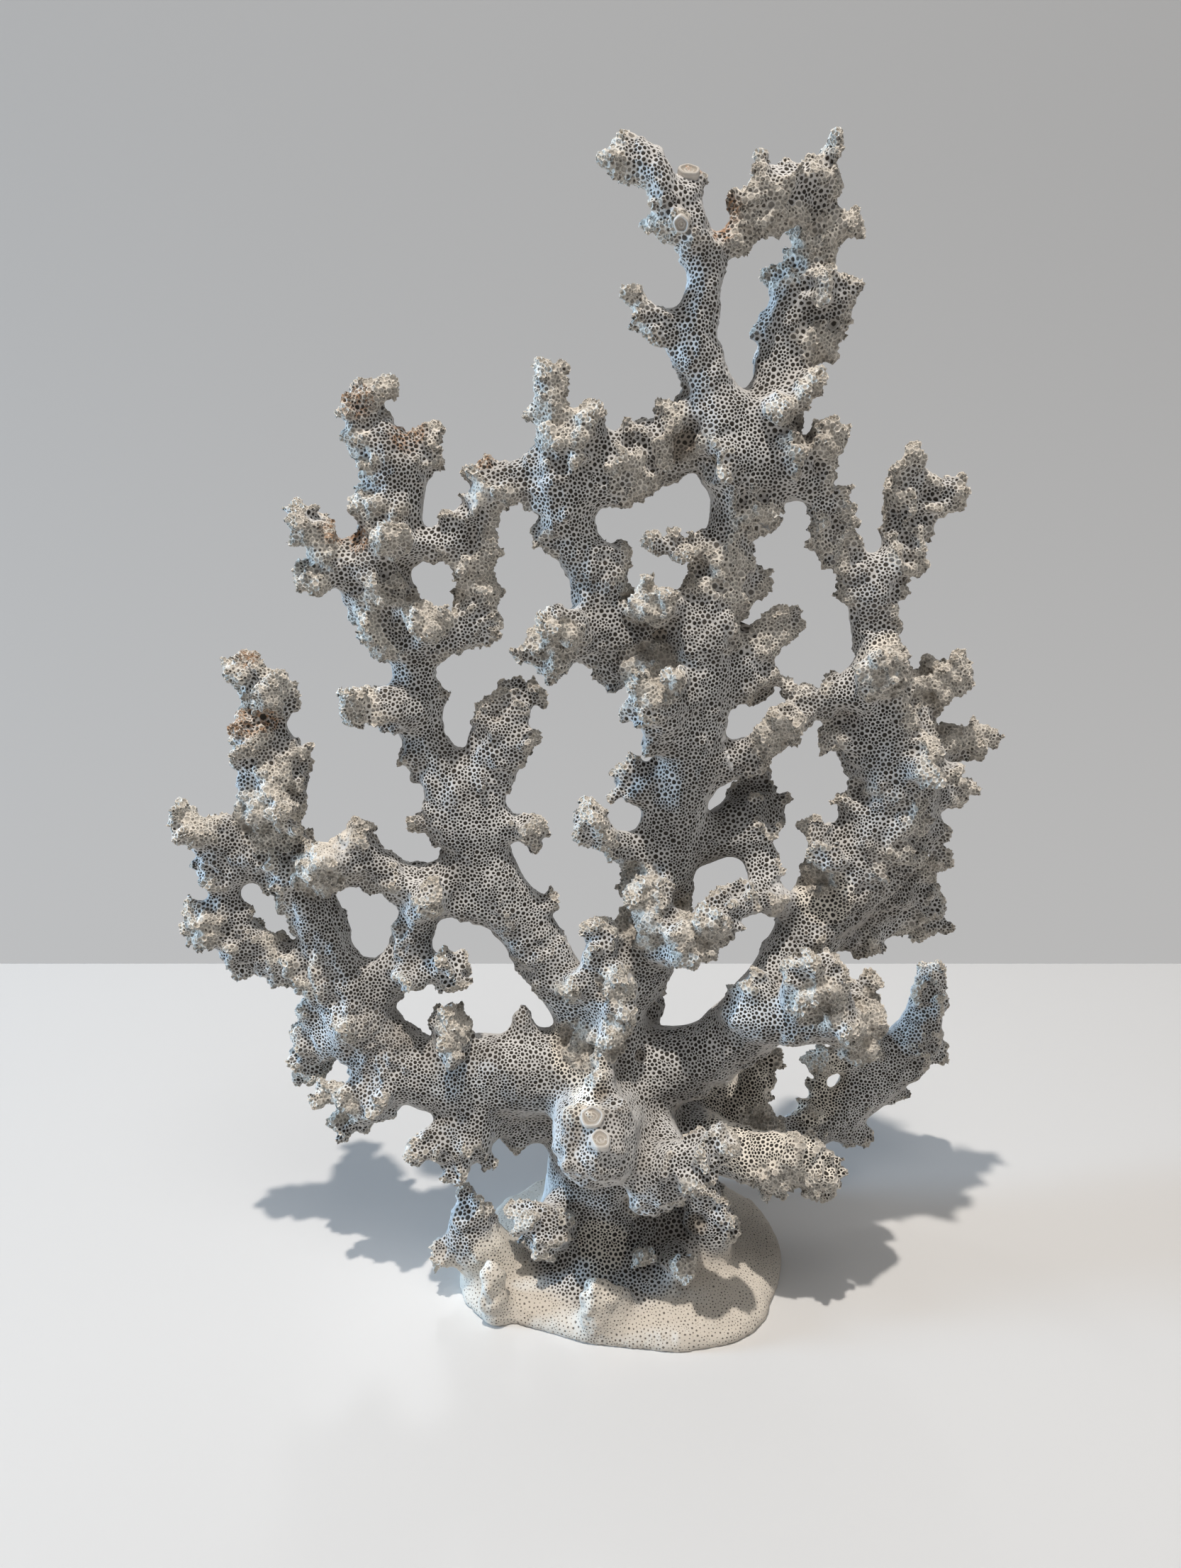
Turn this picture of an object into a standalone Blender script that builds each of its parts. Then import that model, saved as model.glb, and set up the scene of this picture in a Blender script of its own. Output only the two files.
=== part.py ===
"""Branch coral skeleton: a fan of fused white branches that stands on its own spread foot.

Every limb is a string of balls along a smooth line. The balls are fused into one skin, the skin is
thinned to flat facets, and a fine saw then parts it at the main forks, so that each limb is a solid.
"""

import math
import random

import bmesh
import bpy
from mathutils import Matrix, Vector

MM = 0.001

# The fan's plane is y = 0. Limbs are laid out as they look from this point, in millimetres.
EYE = Vector((-12.0, -342.0, 266.0))

SKIN_GRAIN = 1.5  # side of the cells in which the balls are fused
SKIN_PASSES = 5  # smoothing passes that round the creases between balls
SKIN_GAIN = 0.55  # what smoothing takes off a limb's radius
FACETS = 8000  # triangles that are kept on the whole coral
SAW_KERF = 0.3  # width of each saw cut
BALL_STEP = 0.42  # distance between balls, as a share of their radius
CRUST_SEED = 11
CRUST_LUMPS = 3  # on each ball of a crusted knob
CRUST_SIZES = (0.3, 0.45)  # least and greatest radius of a lump, as shares of its ball's radius
CRUST_SINK = 0.35  # how far a lump's middle lies under its ball's skin, as a share of the lump's radius

FOOT_SIDE_HEIGHT = 2.75
FOOT_EDGE_HEIGHT = 5.0
FOOT_CROWN_HEIGHT = 13.0
FOOT_EDGE_REACH = 0.965  # shares of the outline's distance from FOOT_MIDDLE
FOOT_CROWN_REACH = 0.365
FOOT_DEPTH_BELOW = 6.0  # run-out under the ground, which the flat cut takes off
FOOT_RINGS = 6
GROUND_CUT = (400.0, 400.0, 60.0)  # wider than the coral, deeper than what is rounded off under it
FOOT_MIDDLE = (-4.0, 4.0)
# Outline of the foot on the ground, seen from above: x, y
FOOT_OUTLINE = [
    (-54, -22), (-50, -27), (-44, -29), (-36, -31), (-26, -35), (-16, -39), (-6, -41),
    (6, -43), (16, -44), (25, -42), (34, -40), (41, -35), (46, -29), (48, -22),
    (52, -14), (55, -3), (56, 7), (54, 19), (50, 31), (40, 41), (25, 48), (5, 52),
    (-15, 50), (-32, 43), (-46, 30), (-54, 15), (-57, 0), (-57, -12),
]

# Each limb's lines. A point is x, z and radius as seen from EYE against the fan's plane, then depth y.
LIMBS = {
    "foot_and_trunk": [
        [(-5, -2, 34, 6), (-5, 8, 29, 7), (-5, 20, 25, 8), (-5, 34, 23, 8), (-5, 44, 23, 7)],
        [(-46, 0, 11, -10), (-52, 8, 10, -12), (-53, 17, 8, -12), (-54, 25, 5.5, -12)],
        [(-54, 8, 8, -14), (-62, 5, 5, -15), (-68, 2, 2.2, -16)],
        [(-46, -21, 4.8, -30), (-46, -12, 4.8, -29), (-47, -4, 4.2, -28)],
        [(-10, -25, 5.5, -36), (-11, -13, 5, -36)],
        [(-4, -26, 6, -35), (-1, -16, 4, -33), (-4, -11, 3, -35)],
        [(27, 2, 9, -6), (32, 14, 7, -10), (31, 24, 6, -10), (25, 30, 6, -8), (14, 34, 8, 0)],
        [(16, 5, 7, -8), (20, -2, 4.5, -26)],
        [(19, 18, 10, 0)],
        [(-5, 44, 23, 7), (-4, 56, 23, 5), (-4, 70, 21, 2), (-7, 83, 16.5, 1), (-8, 93, 13, 1)],
        [(-29, 60, 9, 2), (-30, 54, 6, 2)],
        [(-6, 66, 17, -4), (-9, 54, 17, -20), (-10, 48, 15.5, -32)],
        [(4, 54, 13, -8), (10, 42, 12, -22), (12, 34, 10.5, -31), (8, 28, 7.5, -34)],
        [(11, 35, 11, -31), (21, 39, 9.5, -36), (32, 46, 6.8, -38)],
        [(2, 58, 15, 10), (16, 58, 13, 14), (34, 57, 12, 18)],
        [(20, 52, 11, 4), (32, 46, 9.5, -8), (46, 42, 9.5, -15), (58, 41, 9.5, -20)],
        [(62, 38, 8, -22), (66, 33, 6.5, -22)],
        [(-5, 78, 15, 2), (8, 76, 14, -1), (20, 78, 12.5, -4)],
        [(-10, 76, 15, 0), (-22, 74, 14.5, -1), (-36, 74, 14.5, -2)],
        [(-11, 86, 12, 1), (-15, 97, 9.8, 2), (-22, 108, 9.7, 2), (-29, 120, 9.3, 3)],
        [(-6, 88, 11.5, 0), (-2.5, 101, 11, 0), (3.5, 114, 11.8, 1)],
        [(-10, 96, 6.5, -5), (-9, 108, 6.5, -7), (-9, 118, 6.3, -8)],
    ],
    "left_arm": [
        [(-33, 74, 14.5, -2), (-44, 74, 14, -3), (-56, 72, 13, -3), (-68, 74, 12, -2),
         (-80, 82, 12, 0), (-88, 92, 12.5, 2), (-91, 104, 12, 3)],
        [(-50, 66, 9, -6), (-54, 54, 9, -10), (-55, 47, 9, -12)],
        [(-56, 78, 8, -3), (-58, 86, 7, -4), (-59, 93, 6, -4)],
        [(-76, 72, 9, -2), (-86, 67, 7, -6), (-96, 66, 5, -8)],
        [(-88, 62, 6, -4), (-93, 55, 6, -4)],
        [(-84, 63, 5, -4), (-81, 58, 3.5, -5)],
        [(-90, 90, 10, 3), (-101, 89, 8.5, 5), (-105, 80, 6.5, 6), (-107, 75, 3.5, 6)],
        [(-37, 56, 7, 0), (-37, 51, 5.5, 0)],
        [(-44, 58, 7, -4), (-45, 53, 4.5, -6)],
        [(-34, 88, 5, 0), (-34, 95, 2.6, 0)],
    ],
    "far_left_fan": [
        [(-91, 102, 12, 3), (-96, 111, 10.5, 4), (-97.5, 121, 8.6, 5), (-101, 131, 8.5, 6),
         (-105, 141, 9.5, 7), (-110.5, 150, 10.5, 8), (-113.5, 161, 7.8, 9), (-112, 170, 10, 9),
         (-111.5, 180, 11.5, 9), (-114, 189, 8.2, 9), (-111, 197, 6.5, 9), (-110, 203.5, 7, 9),
         (-115, 209, 5, 9), (-122, 212.5, 2.5, 9)],
        [(-99, 111, 9, 4), (-110, 114.2, 7, 5), (-120, 117.5, 8, 6), (-129, 124, 7.5, 6),
         (-138, 129, 5.5, 5)],
        [(-116, 152, 8, 7), (-123, 148, 7, 6), (-129, 143, 5, 5)],
        [(-129, 127, 6.5, 6), (-129, 136, 5, 6), (-131, 144, 4.5, 5), (-133, 151, 5, 4)],
        [(-112, 154, 9, 8), (-122, 156, 6.5, 6), (-131, 158, 6, 4), (-138.5, 160.5, 5.5, 2)],
        [(-106, 146, 8, 6), (-97, 146.5, 6.5, 2), (-88, 148, 7, 2), (-79, 146, 6, 2),
         (-71, 142, 7, 3), (-62, 141.5, 6.5, 4), (-53, 145, 7, 4)],
        [(-88, 150, 7, 2), (-86, 156, 6, 0)],
        [(-74, 143, 6, 0), (-69, 137, 6.2, 0), (-68, 129, 6.3, 2), (-71, 120, 6.5, 3), (-76, 111, 7, 3),
         (-85, 103, 9.5, 3)],
        [(-78, 111, 6.5, 2), (-71, 111, 6.3, 0), (-61, 111, 5.8, -3), (-56, 110.5, 5, -4)],
        [(-62, 139, 6, 2), (-57, 134, 5, 2)],
    ],
    "left_mid_stem": [
        [(-28, 117, 9.3, 3), (-34, 127, 9, 4), (-42, 138, 10, 4), (-47, 150, 10, 5), (-50.5, 161, 11, 6),
         (-52.5, 170, 11, 7), (-58.5, 180, 8.2, 7), (-63.5, 190, 6.8, 8), (-65, 197, 7.5, 8)],
        [(-49, 168, 9.5, 6), (-43, 179, 8, 7), (-41, 188, 8, 7), (-39, 195, 7.5, 8), (-35, 200, 6, 8)],
        [(-44, 160, 7, 4), (-35, 160, 5, 2), (-29, 158, 4, 1)],
        [(-52, 160, 8, 4), (-60, 161, 5.5, 2), (-66, 162, 3.5, 1)],
        [(-44, 136, 8, 3), (-52, 133, 5.5, 1)],
    ],
    "upper_left_fan": [
        [(-63.5, 190, 7, 8), (-64.5, 201, 7.6, 8), (-66, 212, 7.5, 8), (-69, 221, 9, 8), (-74, 231, 11.5, 8),
         (-76, 240, 10.5, 8), (-72, 250, 8.6, 7), (-69.5, 260, 8.8, 6), (-70, 268, 9.5, 6),
         (-74, 276, 7, 5), (-77, 284, 6.3, 4), (-75, 289, 4.5, 4)],
        [(-68, 268, 7, 6), (-62, 272, 6, 6), (-58, 278, 4.5, 6)],
        [(-78, 242, 8, 6), (-87, 243, 6.3, 4), (-92, 248, 5.8, 3), (-96, 254, 5.2, 2), (-98, 258, 3.8, 2)],
        [(-66, 199, 7, 4), (-75, 198, 6.5, 0), (-82, 198.5, 6, -4)],
        [(-68, 247, 6, 6), (-58, 247, 5, 4), (-50, 245, 5.5, 4), (-47, 236, 5.8, 4), (-47, 226, 6, 4),
         (-53, 220, 6, 4), (-62, 219, 6.5, 4)],
        [(-50, 248, 5.5, 4), (-46, 256, 5.5, 3), (-43, 263, 5.5, 2), (-37, 263, 5, 1), (-33, 266, 4.5, 0),
         (-27, 266, 5, -1)],
        [(-43, 262, 5, 2), (-43, 268, 4.8, 1)],
        [(-48, 224, 5.5, 4), (-43, 219, 3.5, 3)],
    ],
    "centre_stem": [
        [(2, 110, 12, 1), (7, 121, 11, 2), (9, 133, 10.5, 2), (11, 145, 11, 2), (13, 157, 10.5, 2),
         (15.5, 169, 10.3, 2), (17.5, 180, 10, 1), (18, 193, 11, 0)],
        [(-9, 116, 6.3, -8), (-9, 122, 6, -8)],
        [(4, 152, 6, 0), (-5, 155, 5, -4), (-11, 160, 5.3, -7), (-14, 165, 4, -9)],
        [(12, 175, 7, 0), (2, 172, 5, -2), (-5, 172, 3.2, -3)],
        [(18, 156, 9, 4), (28, 158.5, 7.8, 8), (36, 165, 8, 13), (41, 170, 7, 17), (42, 176, 4.6, 20)],
        [(38, 166, 8, 12), (46, 166, 5.5, 12)],
        [(28, 158, 6, 6), (37, 155, 5.3, 4), (42, 150, 4.8, 2), (43.5, 144, 5, -2), (46, 138, 5, -5)],
        [(10, 120, 7, -8), (20, 122, 7, -16), (26, 128, 6.5, -18), (33, 134, 5.5, -14), (42, 137, 4.8, -8),
         (50, 134, 5, -4), (58, 131, 6, 0)],
    ],
    "centre_fan": [
        [(18, 190, 11, 0), (20, 203, 11, 0), (21, 216, 12, 1), (23, 228, 10.5, 2), (27, 239, 8.2, 3),
         (29, 250, 7.3, 3), (31, 260, 8, 3)],
        [(20, 200, 9, 2), (30, 209, 7.5, 3), (39.5, 218, 5.5, 4), (47.5, 227, 4.2, 5)],
        [(28, 203, 6, 3), (38, 206, 5, 3), (46, 207, 3.6, 3)],
        [(27, 229, 6.5, 4), (34, 235, 4.6, 5), (39.5, 237, 3.2, 5)],
        [(14, 206, 9, 1), (4, 214, 9, 1), (-3, 222, 8.5, 1), (-8, 231, 8, 1), (-10, 241, 7.8, 1)],
        [(-8, 222, 7, -1), (-19, 219, 8, -4), (-28, 216, 6.5, -4), (-34, 216, 3.5, -4)],
        [(-4, 214, 6, 3), (-6, 208, 5, 4)],
        [(12, 193, 9, -4), (8, 200, 8.5, -12)],
        [(9, 222, 6, 2)],
    ],
    "right_link": [
        [(20, 180, 9, 0), (30, 181, 6, 0), (38, 184.5, 5.6, 0), (46, 189, 6, 0), (53, 196, 5.9, 1),
         (60, 202, 6, 2), (71, 205, 8, 3)],
    ],
    "centre_left_branch": [
        [(-10, 234, 7.8, 1), (-12.5, 244, 7.6, 1), (-19.5, 254, 7.3, 0), (-21, 262.5, 9.2, -1),
         (-19, 274, 9.5, -2), (-21.5, 284, 5.8, -2), (-23.5, 292, 4.4, -2), (-23.5, 297, 3.2, -2)],
        [(-8, 244, 7, 1), (-5, 245, 4, 2)],
        [(-15, 272, 7, -3), (-12, 280, 5, -4), (-11, 284, 4, -4)],
        [(-14, 265, 8.5, -1), (-4, 267.5, 8.2, 0), (5, 273.5, 8.5, 1), (15, 279, 9.3, 2)],
        [(-22, 268, 8, -1), (-29, 268, 5.5, -1), (-34, 266, 4.5, 0)],
    ],
    "top_crown": [
        [(32, 254, 6.6, 3), (34.5, 263, 9.6, 2), (31, 272, 12.5, 1), (26.5, 281, 10, 0), (21.5, 292, 7.9, -1),
         (18.5, 303, 7, -2), (18.5, 313, 5.8, -3), (19.5, 321, 4.6, -4), (17.5, 329, 5, -5),
         (12, 337, 6.5, -6), (6, 344, 6, -7), (2, 351, 5.2, -8), (1, 356, 3.8, -8)],
        [(18, 279, 9, 1), (11, 277, 8.5, 1), (2, 271, 8.5, 1)],
        [(16, 305, 6, -2), (8, 308.5, 4.4, -4), (1, 313, 4.2, -6), (-1, 315, 3.2, -6)],
        [(13, 337, 5.5, -5), (15, 342.5, 4.4, -3), (15.5, 345, 3.8, -3)],
        [(20, 323, 4, -4), (26, 329, 3.8, -3), (32, 336, 5.6, -2), (39, 341, 7, 0), (46, 344, 7, 2),
         (51, 349, 5.5, 3), (55, 353, 3.8, 3)],
        [(33, 275, 11, 3), (39, 286, 8.6, 5), (42.8, 295, 8, 6), (44.2, 304, 8, 6), (46, 313, 7.6, 7),
         (47.5, 322, 5.8, 7), (48.5, 331, 5.8, 6), (48, 341, 6.5, 4)],
        [(35, 285, 3.5, 3), (36.8, 294, 3, 4), (37.6, 303, 3, 5)],
        [(50, 311, 6, 4), (55, 308, 5, 3), (54, 303, 3.2, 3)],
        [(38, 272, 10, 1), (48, 270, 9.3, 0), (54, 264, 6.6, 1), (60, 256, 6, 2)],
    ],
    "upper_right_fork": [
        [(75, 216, 6.8, 3), (73, 225, 7.2, 3), (71, 235, 7.4, 3), (64, 243, 5.8, 3), (59.5, 252, 5.8, 2),
         (56, 262, 6, 1)],
        [(73, 235, 7.4, 3), (80, 244, 6.6, 4), (81, 254, 6.8, 4), (82, 263, 6.4, 3), (82, 271, 4.8, 2),
         (82.5, 276, 2.8, 2)],
    ],
    "right_stem": [
        [(56, 119.5, 10.8, -1), (61, 130, 11.5, 2), (70, 142, 12, 4), (77, 153, 14, 6),
         (82, 165, 14.5, 7), (83, 178, 14.5, 7), (79, 190, 14, 6), (78, 200, 11, 5), (76, 209, 8.5, 4),
         (75, 217, 6.8, 3), (73, 226, 7.2, 3)],
        [(76, 142, 10, 12), (87, 136, 10.5, 20), (96, 131, 7.5, 24)],
        [(66, 128, 9, 5), (74, 125, 6.5, 10), (81, 121, 3.6, 12)],
        [(62, 143, 5, 0), (60.5, 152, 4.2, 0), (58.5, 158.5, 4, 1), (66, 156, 4.5, 3)],
        [(84, 198, 8, 8), (92, 205, 6.5, 10), (97, 209, 5.5, 10)],
        [(88, 186, 8, 8), (98, 186, 5.5, 14), (107, 189, 4.8, 18), (111, 192, 3.8, 18)],
        [(90, 174, 8, 6), (103, 172, 4, 8)],
        [(68, 188, 7, 4), (65, 189, 5, 3)],
    ],
    "right_arm": [
        [(17, 76, 12.5, -3), (29, 83, 11.5, -5), (40, 92.5, 12, -7), (49, 105, 11, -6),
         (56, 119.5, 10.8, -1)],
        [(40, 96, 10, -12), (56, 95, 10, -18), (68, 95, 9, -20), (77, 89.5, 8, -18)],
        [(38, 98, 7, -12), (42, 106, 5.5, -16)],
        [(66, 98, 7, -14), (77, 104, 6, -8)],
    ],
    "back_branch": [
        [(30, 57, 12, 17), (40, 52, 10, 21), (51, 48.5, 6.5, 28), (62, 53, 6.6, 36), (74, 61, 7.8, 42),
         (84, 74, 9, 47), (95, 84, 8.6, 50), (98, 95, 6.6, 52), (98.5, 106, 5.5, 52)],
        [(36, 58, 9, 18), (41, 68, 7, 17), (46, 79, 5.5, 17)],
        [(62, 56, 7, 36), (74, 53, 5, 40), (83, 50, 2.5, 42)],
        [(84, 80, 8, 47), (73, 80, 5.8, 44), (64.5, 78, 4.6, 42)],
        [(94, 86, 7, 50), (101, 84, 4.5, 50)],
        [(80, 66, 6, 45), (90, 67, 4, 47)],
    ],
}

# Crusted knobs and broken ends, in the same terms as the limbs.
CRUSTED = {
    "foot": [
        [(-21, 20, 7, -9), (-27, 12, 8, -16), (-31, 15, 7, -19)],
        [(-23, 16, 5, -18)],
        [(-28, 6, 3.5, -22)],
        [(7, 1, 4, -24)],
        [(23, 16, 4, -14)],
        [(-37, 21, 3.5, -14)],
    ],
    "trunk": [
        [(-17, 56, 6, -34), (-3, 58, 6, -32)],
        [(-12, 40, 7, -38)],
        [(14, 47, 3, -34)],
        [(58, 43, 8, -22), (66, 37, 7, -22)],
        [(48, 34, 5, -18), (54, 26, 2.5, -20)],
        [(73, 40, 4, -20)],
        [(-1, 104, 5.5, -15), (-3, 94, 4.5, -16), (-7, 84, 3.5, -17)],
        [(-18, 104, 4.5, -12), (-15, 108, 4, -11)],
        [(-8, 74, 5, -22)],
    ],
    "left_arm": [
        [(-58, 86, 5, -16), (-58, 81, 4.5, -17)],
        [(-61, 95, 3.5, -6), (-55, 94, 3, -6)],
        [(-66, 47, 6, -15), (-71, 44, 4, -16)],
        [(-58, 38, 4.5, -16)],
        [(-48, 40, 4, -12)],
        [(-88, 62, 4.5, -13), (-82, 66, 4, -13)],
        [(-102, 65, 4, -9)],
        [(-104, 95, 5, 2)],
        [(-92, 92, 5, -10)],
        [(-38, 91, 2, -2)],
    ],
    "far_left_fan": [
        [(-111, 165, 6, -5), (-109, 162, 5, -6)],
        [(-119.5, 191.5, 3.8, 4), (-118, 186, 5, 2)],
        [(-105, 184, 4, 9)],
        [(-104, 204, 3, 9)],
        [(-138, 161, 5, 0), (-141, 163, 3.4, 0)],
        [(-134, 149, 4.6, 3), (-131.5, 144, 4, 4)],
        [(-142, 131.5, 4.4, 4)],
        [(-139.5, 123, 4, 5)],
        [(-129, 113, 3.6, 5)],
        [(-98, 147, 6, -8), (-95, 146, 5, -9)],
        [(-86, 159, 4.2, 0)],
        [(-65, 135, 6, -5), (-62, 138, 4.5, -6)],
        [(-72, 107.5, 3.4, -8)],
        [(-58, 113, 5, -7)],
        [(-122, 132, 2.6, 4)],
    ],
    "left_mid_stem": [
        [(-38, 123, 3, 0)],
        [(-27, 135, 4, 4)],
        [(-33, 185, 5, 2), (-30, 188, 3.5, 2)],
        [(-45.5, 196.5, 2.6, 6)],
        [(-30, 202, 4, 8)],
        [(-69, 184, 4, 4)],
        [(-40, 202.5, 3.6, 8)],
    ],
    "upper_left_fan": [
        [(-70, 249, 6, -5)],
        [(-93, 238, 4.5, 2), (-96, 240, 3, 2)],
        [(-62, 225, 5, -4), (-58, 227, 3.5, -4)],
        [(-81, 284, 4, 2)],
        [(-71, 291, 2.2, 4), (-70, 293, 1.8, 4)],
        [(-44, 267, 4.2, 0)],
        [(-42, 248, 3.6, 2)],
        [(-84, 201, 4.4, -6)],
        [(-54, 255, 2.8, 2)],
        [(-77, 257, 4.2, 4)],
        [(-36, 269, 2.6, 0)],
        [(-56, 279, 3, 6)],
    ],
    "centre_stem": [
        [(6, 137, 6, -12), (9, 131, 6, -14)],
        [(11, 138, 4.5, -14)],
        [(-12, 162, 4.5, -10)],
        [(2, 179, 4, -2)],
        [(6, 185, 3.2, -9)],
        [(42, 159, 4.5, 0)],
        [(49, 168, 2.8, 12)],
        [(37, 176, 3.5, 20)],
        [(22, 119, 5, -21), (31, 121, 4, -22)],
        [(28, 130, 4.5, -21), (36, 127, 3, -18)],
        [(40, 139, 3.2, -8)],
        [(18, 124, 4.5, -20)],
    ],
    "centre_fan": [
        [(3, 207, 3.6, -16)],
        [(15, 208, 4.6, -18)],
        [(8, 231, 6.4, -8), (6, 234, 4, -9)],
        [(18, 246, 4.4, -2), (10, 247, 3.8, -4), (6, 248, 3, -4)],
        [(18, 251, 2.2, -2)],
        [(-22, 223, 6, -10), (-17, 224, 4, -11)],
        [(-26, 211, 5, -2)],
        [(3, 196, 4, -12)],
        [(33, 243, 3.5, 0)],
    ],
    "right_link": [
        [(47, 194, 5, -6)],
        [(42, 188, 3.5, -5)],
        [(58, 204, 3.5, 0)],
    ],
    "centre_left_branch": [
        [(-25, 250, 4.5, 0)],
        [(-27, 280, 3, -4), (-24, 290, 4, -4)],
        [(-11, 283, 3.6, -6), (-13, 278, 3.6, -7)],
        [(0, 279, 4, -3)],
        [(-4, 272, 3, -8)],
    ],
    "top_crown": [
        [(48, 273, 6, -7), (54, 277, 5, -5), (58, 277, 3.2, -4)],
        [(-4, 350, 3.6, -7), (-7, 350, 2.6, -7)],
        [(4, 334, 2.4, -5)],
        [(13, 335, 3.4, -13)],
        [(37, 309, 4, 8), (35, 307, 3.2, 8)],
        [(40, 320, 4, 9)],
        [(55, 317, 6, -2), (60, 316, 4.5, -2)],
        [(55, 328, 4, 4), (60, 333, 2.8, 4)],
        [(41, 286, 4, -7), (47, 289, 4, -6), (53, 293, 3.2, -4)],
        [(36, 348, 3.6, -2)],
        [(28, 343, 3, -2)],
        [(51, 343, 3.8, 2)],
        [(59, 310, 4, 2)],
        [(28, 270, 3.4, -12)],
        [(9, 284, 4.4, -2)],
        [(40, 258, 4, 0)],
        [(3, 314, 3.4, -7)],
        [(2, 355, 3.6, -9)],
        [(54, 352, 4, 2)],
    ],
    "upper_right_fork": [
        [(80, 270, 4, 0)],
        [(89, 262, 4.6, 3), (94, 261, 3.6, 3)],
        [(57, 250, 4, 0)],
        [(84, 247, 3.4, 4)],
        [(65, 236, 4, 1)],
        [(81, 220, 3, 4)],
    ],
    "right_stem": [
        [(77, 211, 6.4, -7), (75, 214, 4, -8)],
        [(72, 202, 4, -7)],
        [(96, 209, 5, 8), (101, 212, 3, 8)],
        [(92, 180, 7.5, -6), (99, 180, 4.6, -4)],
        [(111, 192, 3.6, 18)],
        [(105.5, 172, 4, 8)],
        [(97.5, 160, 4, 6), (98, 150, 3.8, 8)],
        [(95, 146, 4, 14)],
        [(99, 127, 5, 24)],
        [(63, 151, 4.6, -10), (68, 149, 3.6, -11)],
        [(66, 168, 3.6, 2)],
        [(97, 192, 3.4, 14)],
        [(60, 124, 4, -9)],
    ],
    "right_arm": [
        [(60, 109, 8.5, -26), (66, 107, 7, -25)],
        [(57, 101, 6, -26)],
        [(79, 91, 6.5, -19), (82, 93, 3.6, -18)],
        [(78, 81, 4.6, -18)],
        [(79, 106, 4.4, -8)],
        [(59, 88, 5, -14)],
        [(70, 95, 7, -24)],
    ],
    "back_branch": [
        [(94, 83, 6, 46)],
        [(100, 110, 4.2, 52), (103, 111, 3, 52)],
        [(103, 82, 4.2, 50)],
        [(102, 94, 3.2, 50)],
        [(64, 70, 3.5, 42)],
        [(46, 62, 3.2, 22)],
    ],
}

# Stubs that grow out of the back of the fan, in the same terms.
BEHIND = {
    "foot": [
        [(10, 30, 9, 24), (13, 34, 6, 34)],
    ],
    "trunk": [
        [(-8, 72, 12, 16), (-10, 78, 9, 30), (-11, 82, 7, 40)],
        [(4, 96, 8, 14), (6, 99, 6, 25)],
    ],
    "left_arm": [
        [(-58, 73, 9, 10), (-60, 76, 7, 22), (-63, 80, 5, 31)],
        [(-88, 90, 8, 14), (-89, 93, 6, 24)],
    ],
    "far_left_fan": [
        [(-108, 146, 8, 18), (-108, 150, 6, 28), (-106, 154, 4.5, 36)],
        [(-114, 180, 6, 20), (-114, 183, 4.5, 28)],
        [(-101, 124, 6, 15), (-101, 125, 4.5, 24)],
    ],
    "left_mid_stem": [
        [(-50, 158, 8, 16), (-50, 162, 6, 26), (-49, 166, 4.5, 35)],
        [(-42, 190, 6, 17), (-41, 192, 4.5, 24)],
    ],
    "upper_left_fan": [
        [(-74, 236, 8, 18), (-74, 239, 6, 28)],
        [(-70, 262, 6, 15), (-70, 264, 5, 24)],
    ],
    "centre_stem": [
        [(11, 142, 8, 12), (12, 147, 6.5, 24), (12, 152, 5, 35)],
        [(15, 174, 6, 11), (16, 177, 5, 20)],
    ],
    "centre_fan": [
        [(21, 214, 9, 12), (22, 219, 7, 25), (23, 224, 5, 36)],
        [(-6, 226, 6, 9), (-6, 229, 4.5, 18)],
    ],
    "centre_left_branch": [
        [(-18, 264, 7, 9), (-18, 267, 5, 19)],
    ],
    "top_crown": [
        [(31, 272, 9, 12), (31, 276, 6.5, 23), (31, 280, 4.6, 32)],
        [(41, 300, 6, 14), (41, 302, 4.5, 22)],
    ],
    "right_stem": [
        [(80, 160, 10, 19), (80, 165, 7, 32), (80, 169, 5, 41)],
        [(80, 192, 8, 18), (80, 195, 6, 28)],
    ],
    "right_arm": [
        [(40, 98, 7, 3), (41, 101, 5.5, 10)],
    ],
}

# Saw cuts at the main forks: x, z and depth of the middle, the limb's heading in degrees, half sizes
# across the limb and from front to back.
SAW_CUTS = {
    "trunk to left arm": (-33, 72, -2, 180, 30, 26),
    "left arm to far left fan": (-91, 101.5, 3, 90, 20, 22),
    "far left fan to middle stem": (-61, 140, 2, 0, 14.5, 17),
    "trunk to left middle stem": (-30, 120, 3, 122, 13, 17),
    "trunk to centre stem": (2, 114.5, 0, 77, 21, 24),
    "cross branch to right stem": (51, 134, -4, -15, 10, 13),
    "centre stem to centre fan": (18, 190.5, 0, 90, 18, 24),
    "centre stem to right link": (31, 183, 0, 25, 11, 10),
    "right link to right stem": (57, 200, 2, 15, 8.5, 12),
    "centre fan to centre left branch": (-9, 237, 1, 97, 13, 14),
    "centre left branch to top crown": (4, 273, 1, 30, 14, 15),
    "upper left fan to centre left branch": (-31, 266, 0, 5, 9, 10),
    "centre fan to top crown": (31, 255, 3, 82, 12, 14),
    "top crown to upper right fork": (58, 257, 2, 120, 9.5, 12),
    "right stem to upper right fork": (74, 222, 3, 97, 11, 13),
    "middle stem to upper left fan": (-61.5, 191, 8, 110, 12, 14),
    "trunk to right arm": (21, 78.5, -4, 24, 16, 19),
    "right arm to right stem": (60, 121.5, -2, 60, 19, 26),
    "trunk to back branch": (33, 56.5, 18, 0, 17, 15),
}

CORAL_COLOUR = (0.66, 0.64, 0.60, 1.0)


def clear_scene():
    for thing in list(bpy.data.objects):
        bpy.data.objects.remove(thing)


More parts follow.
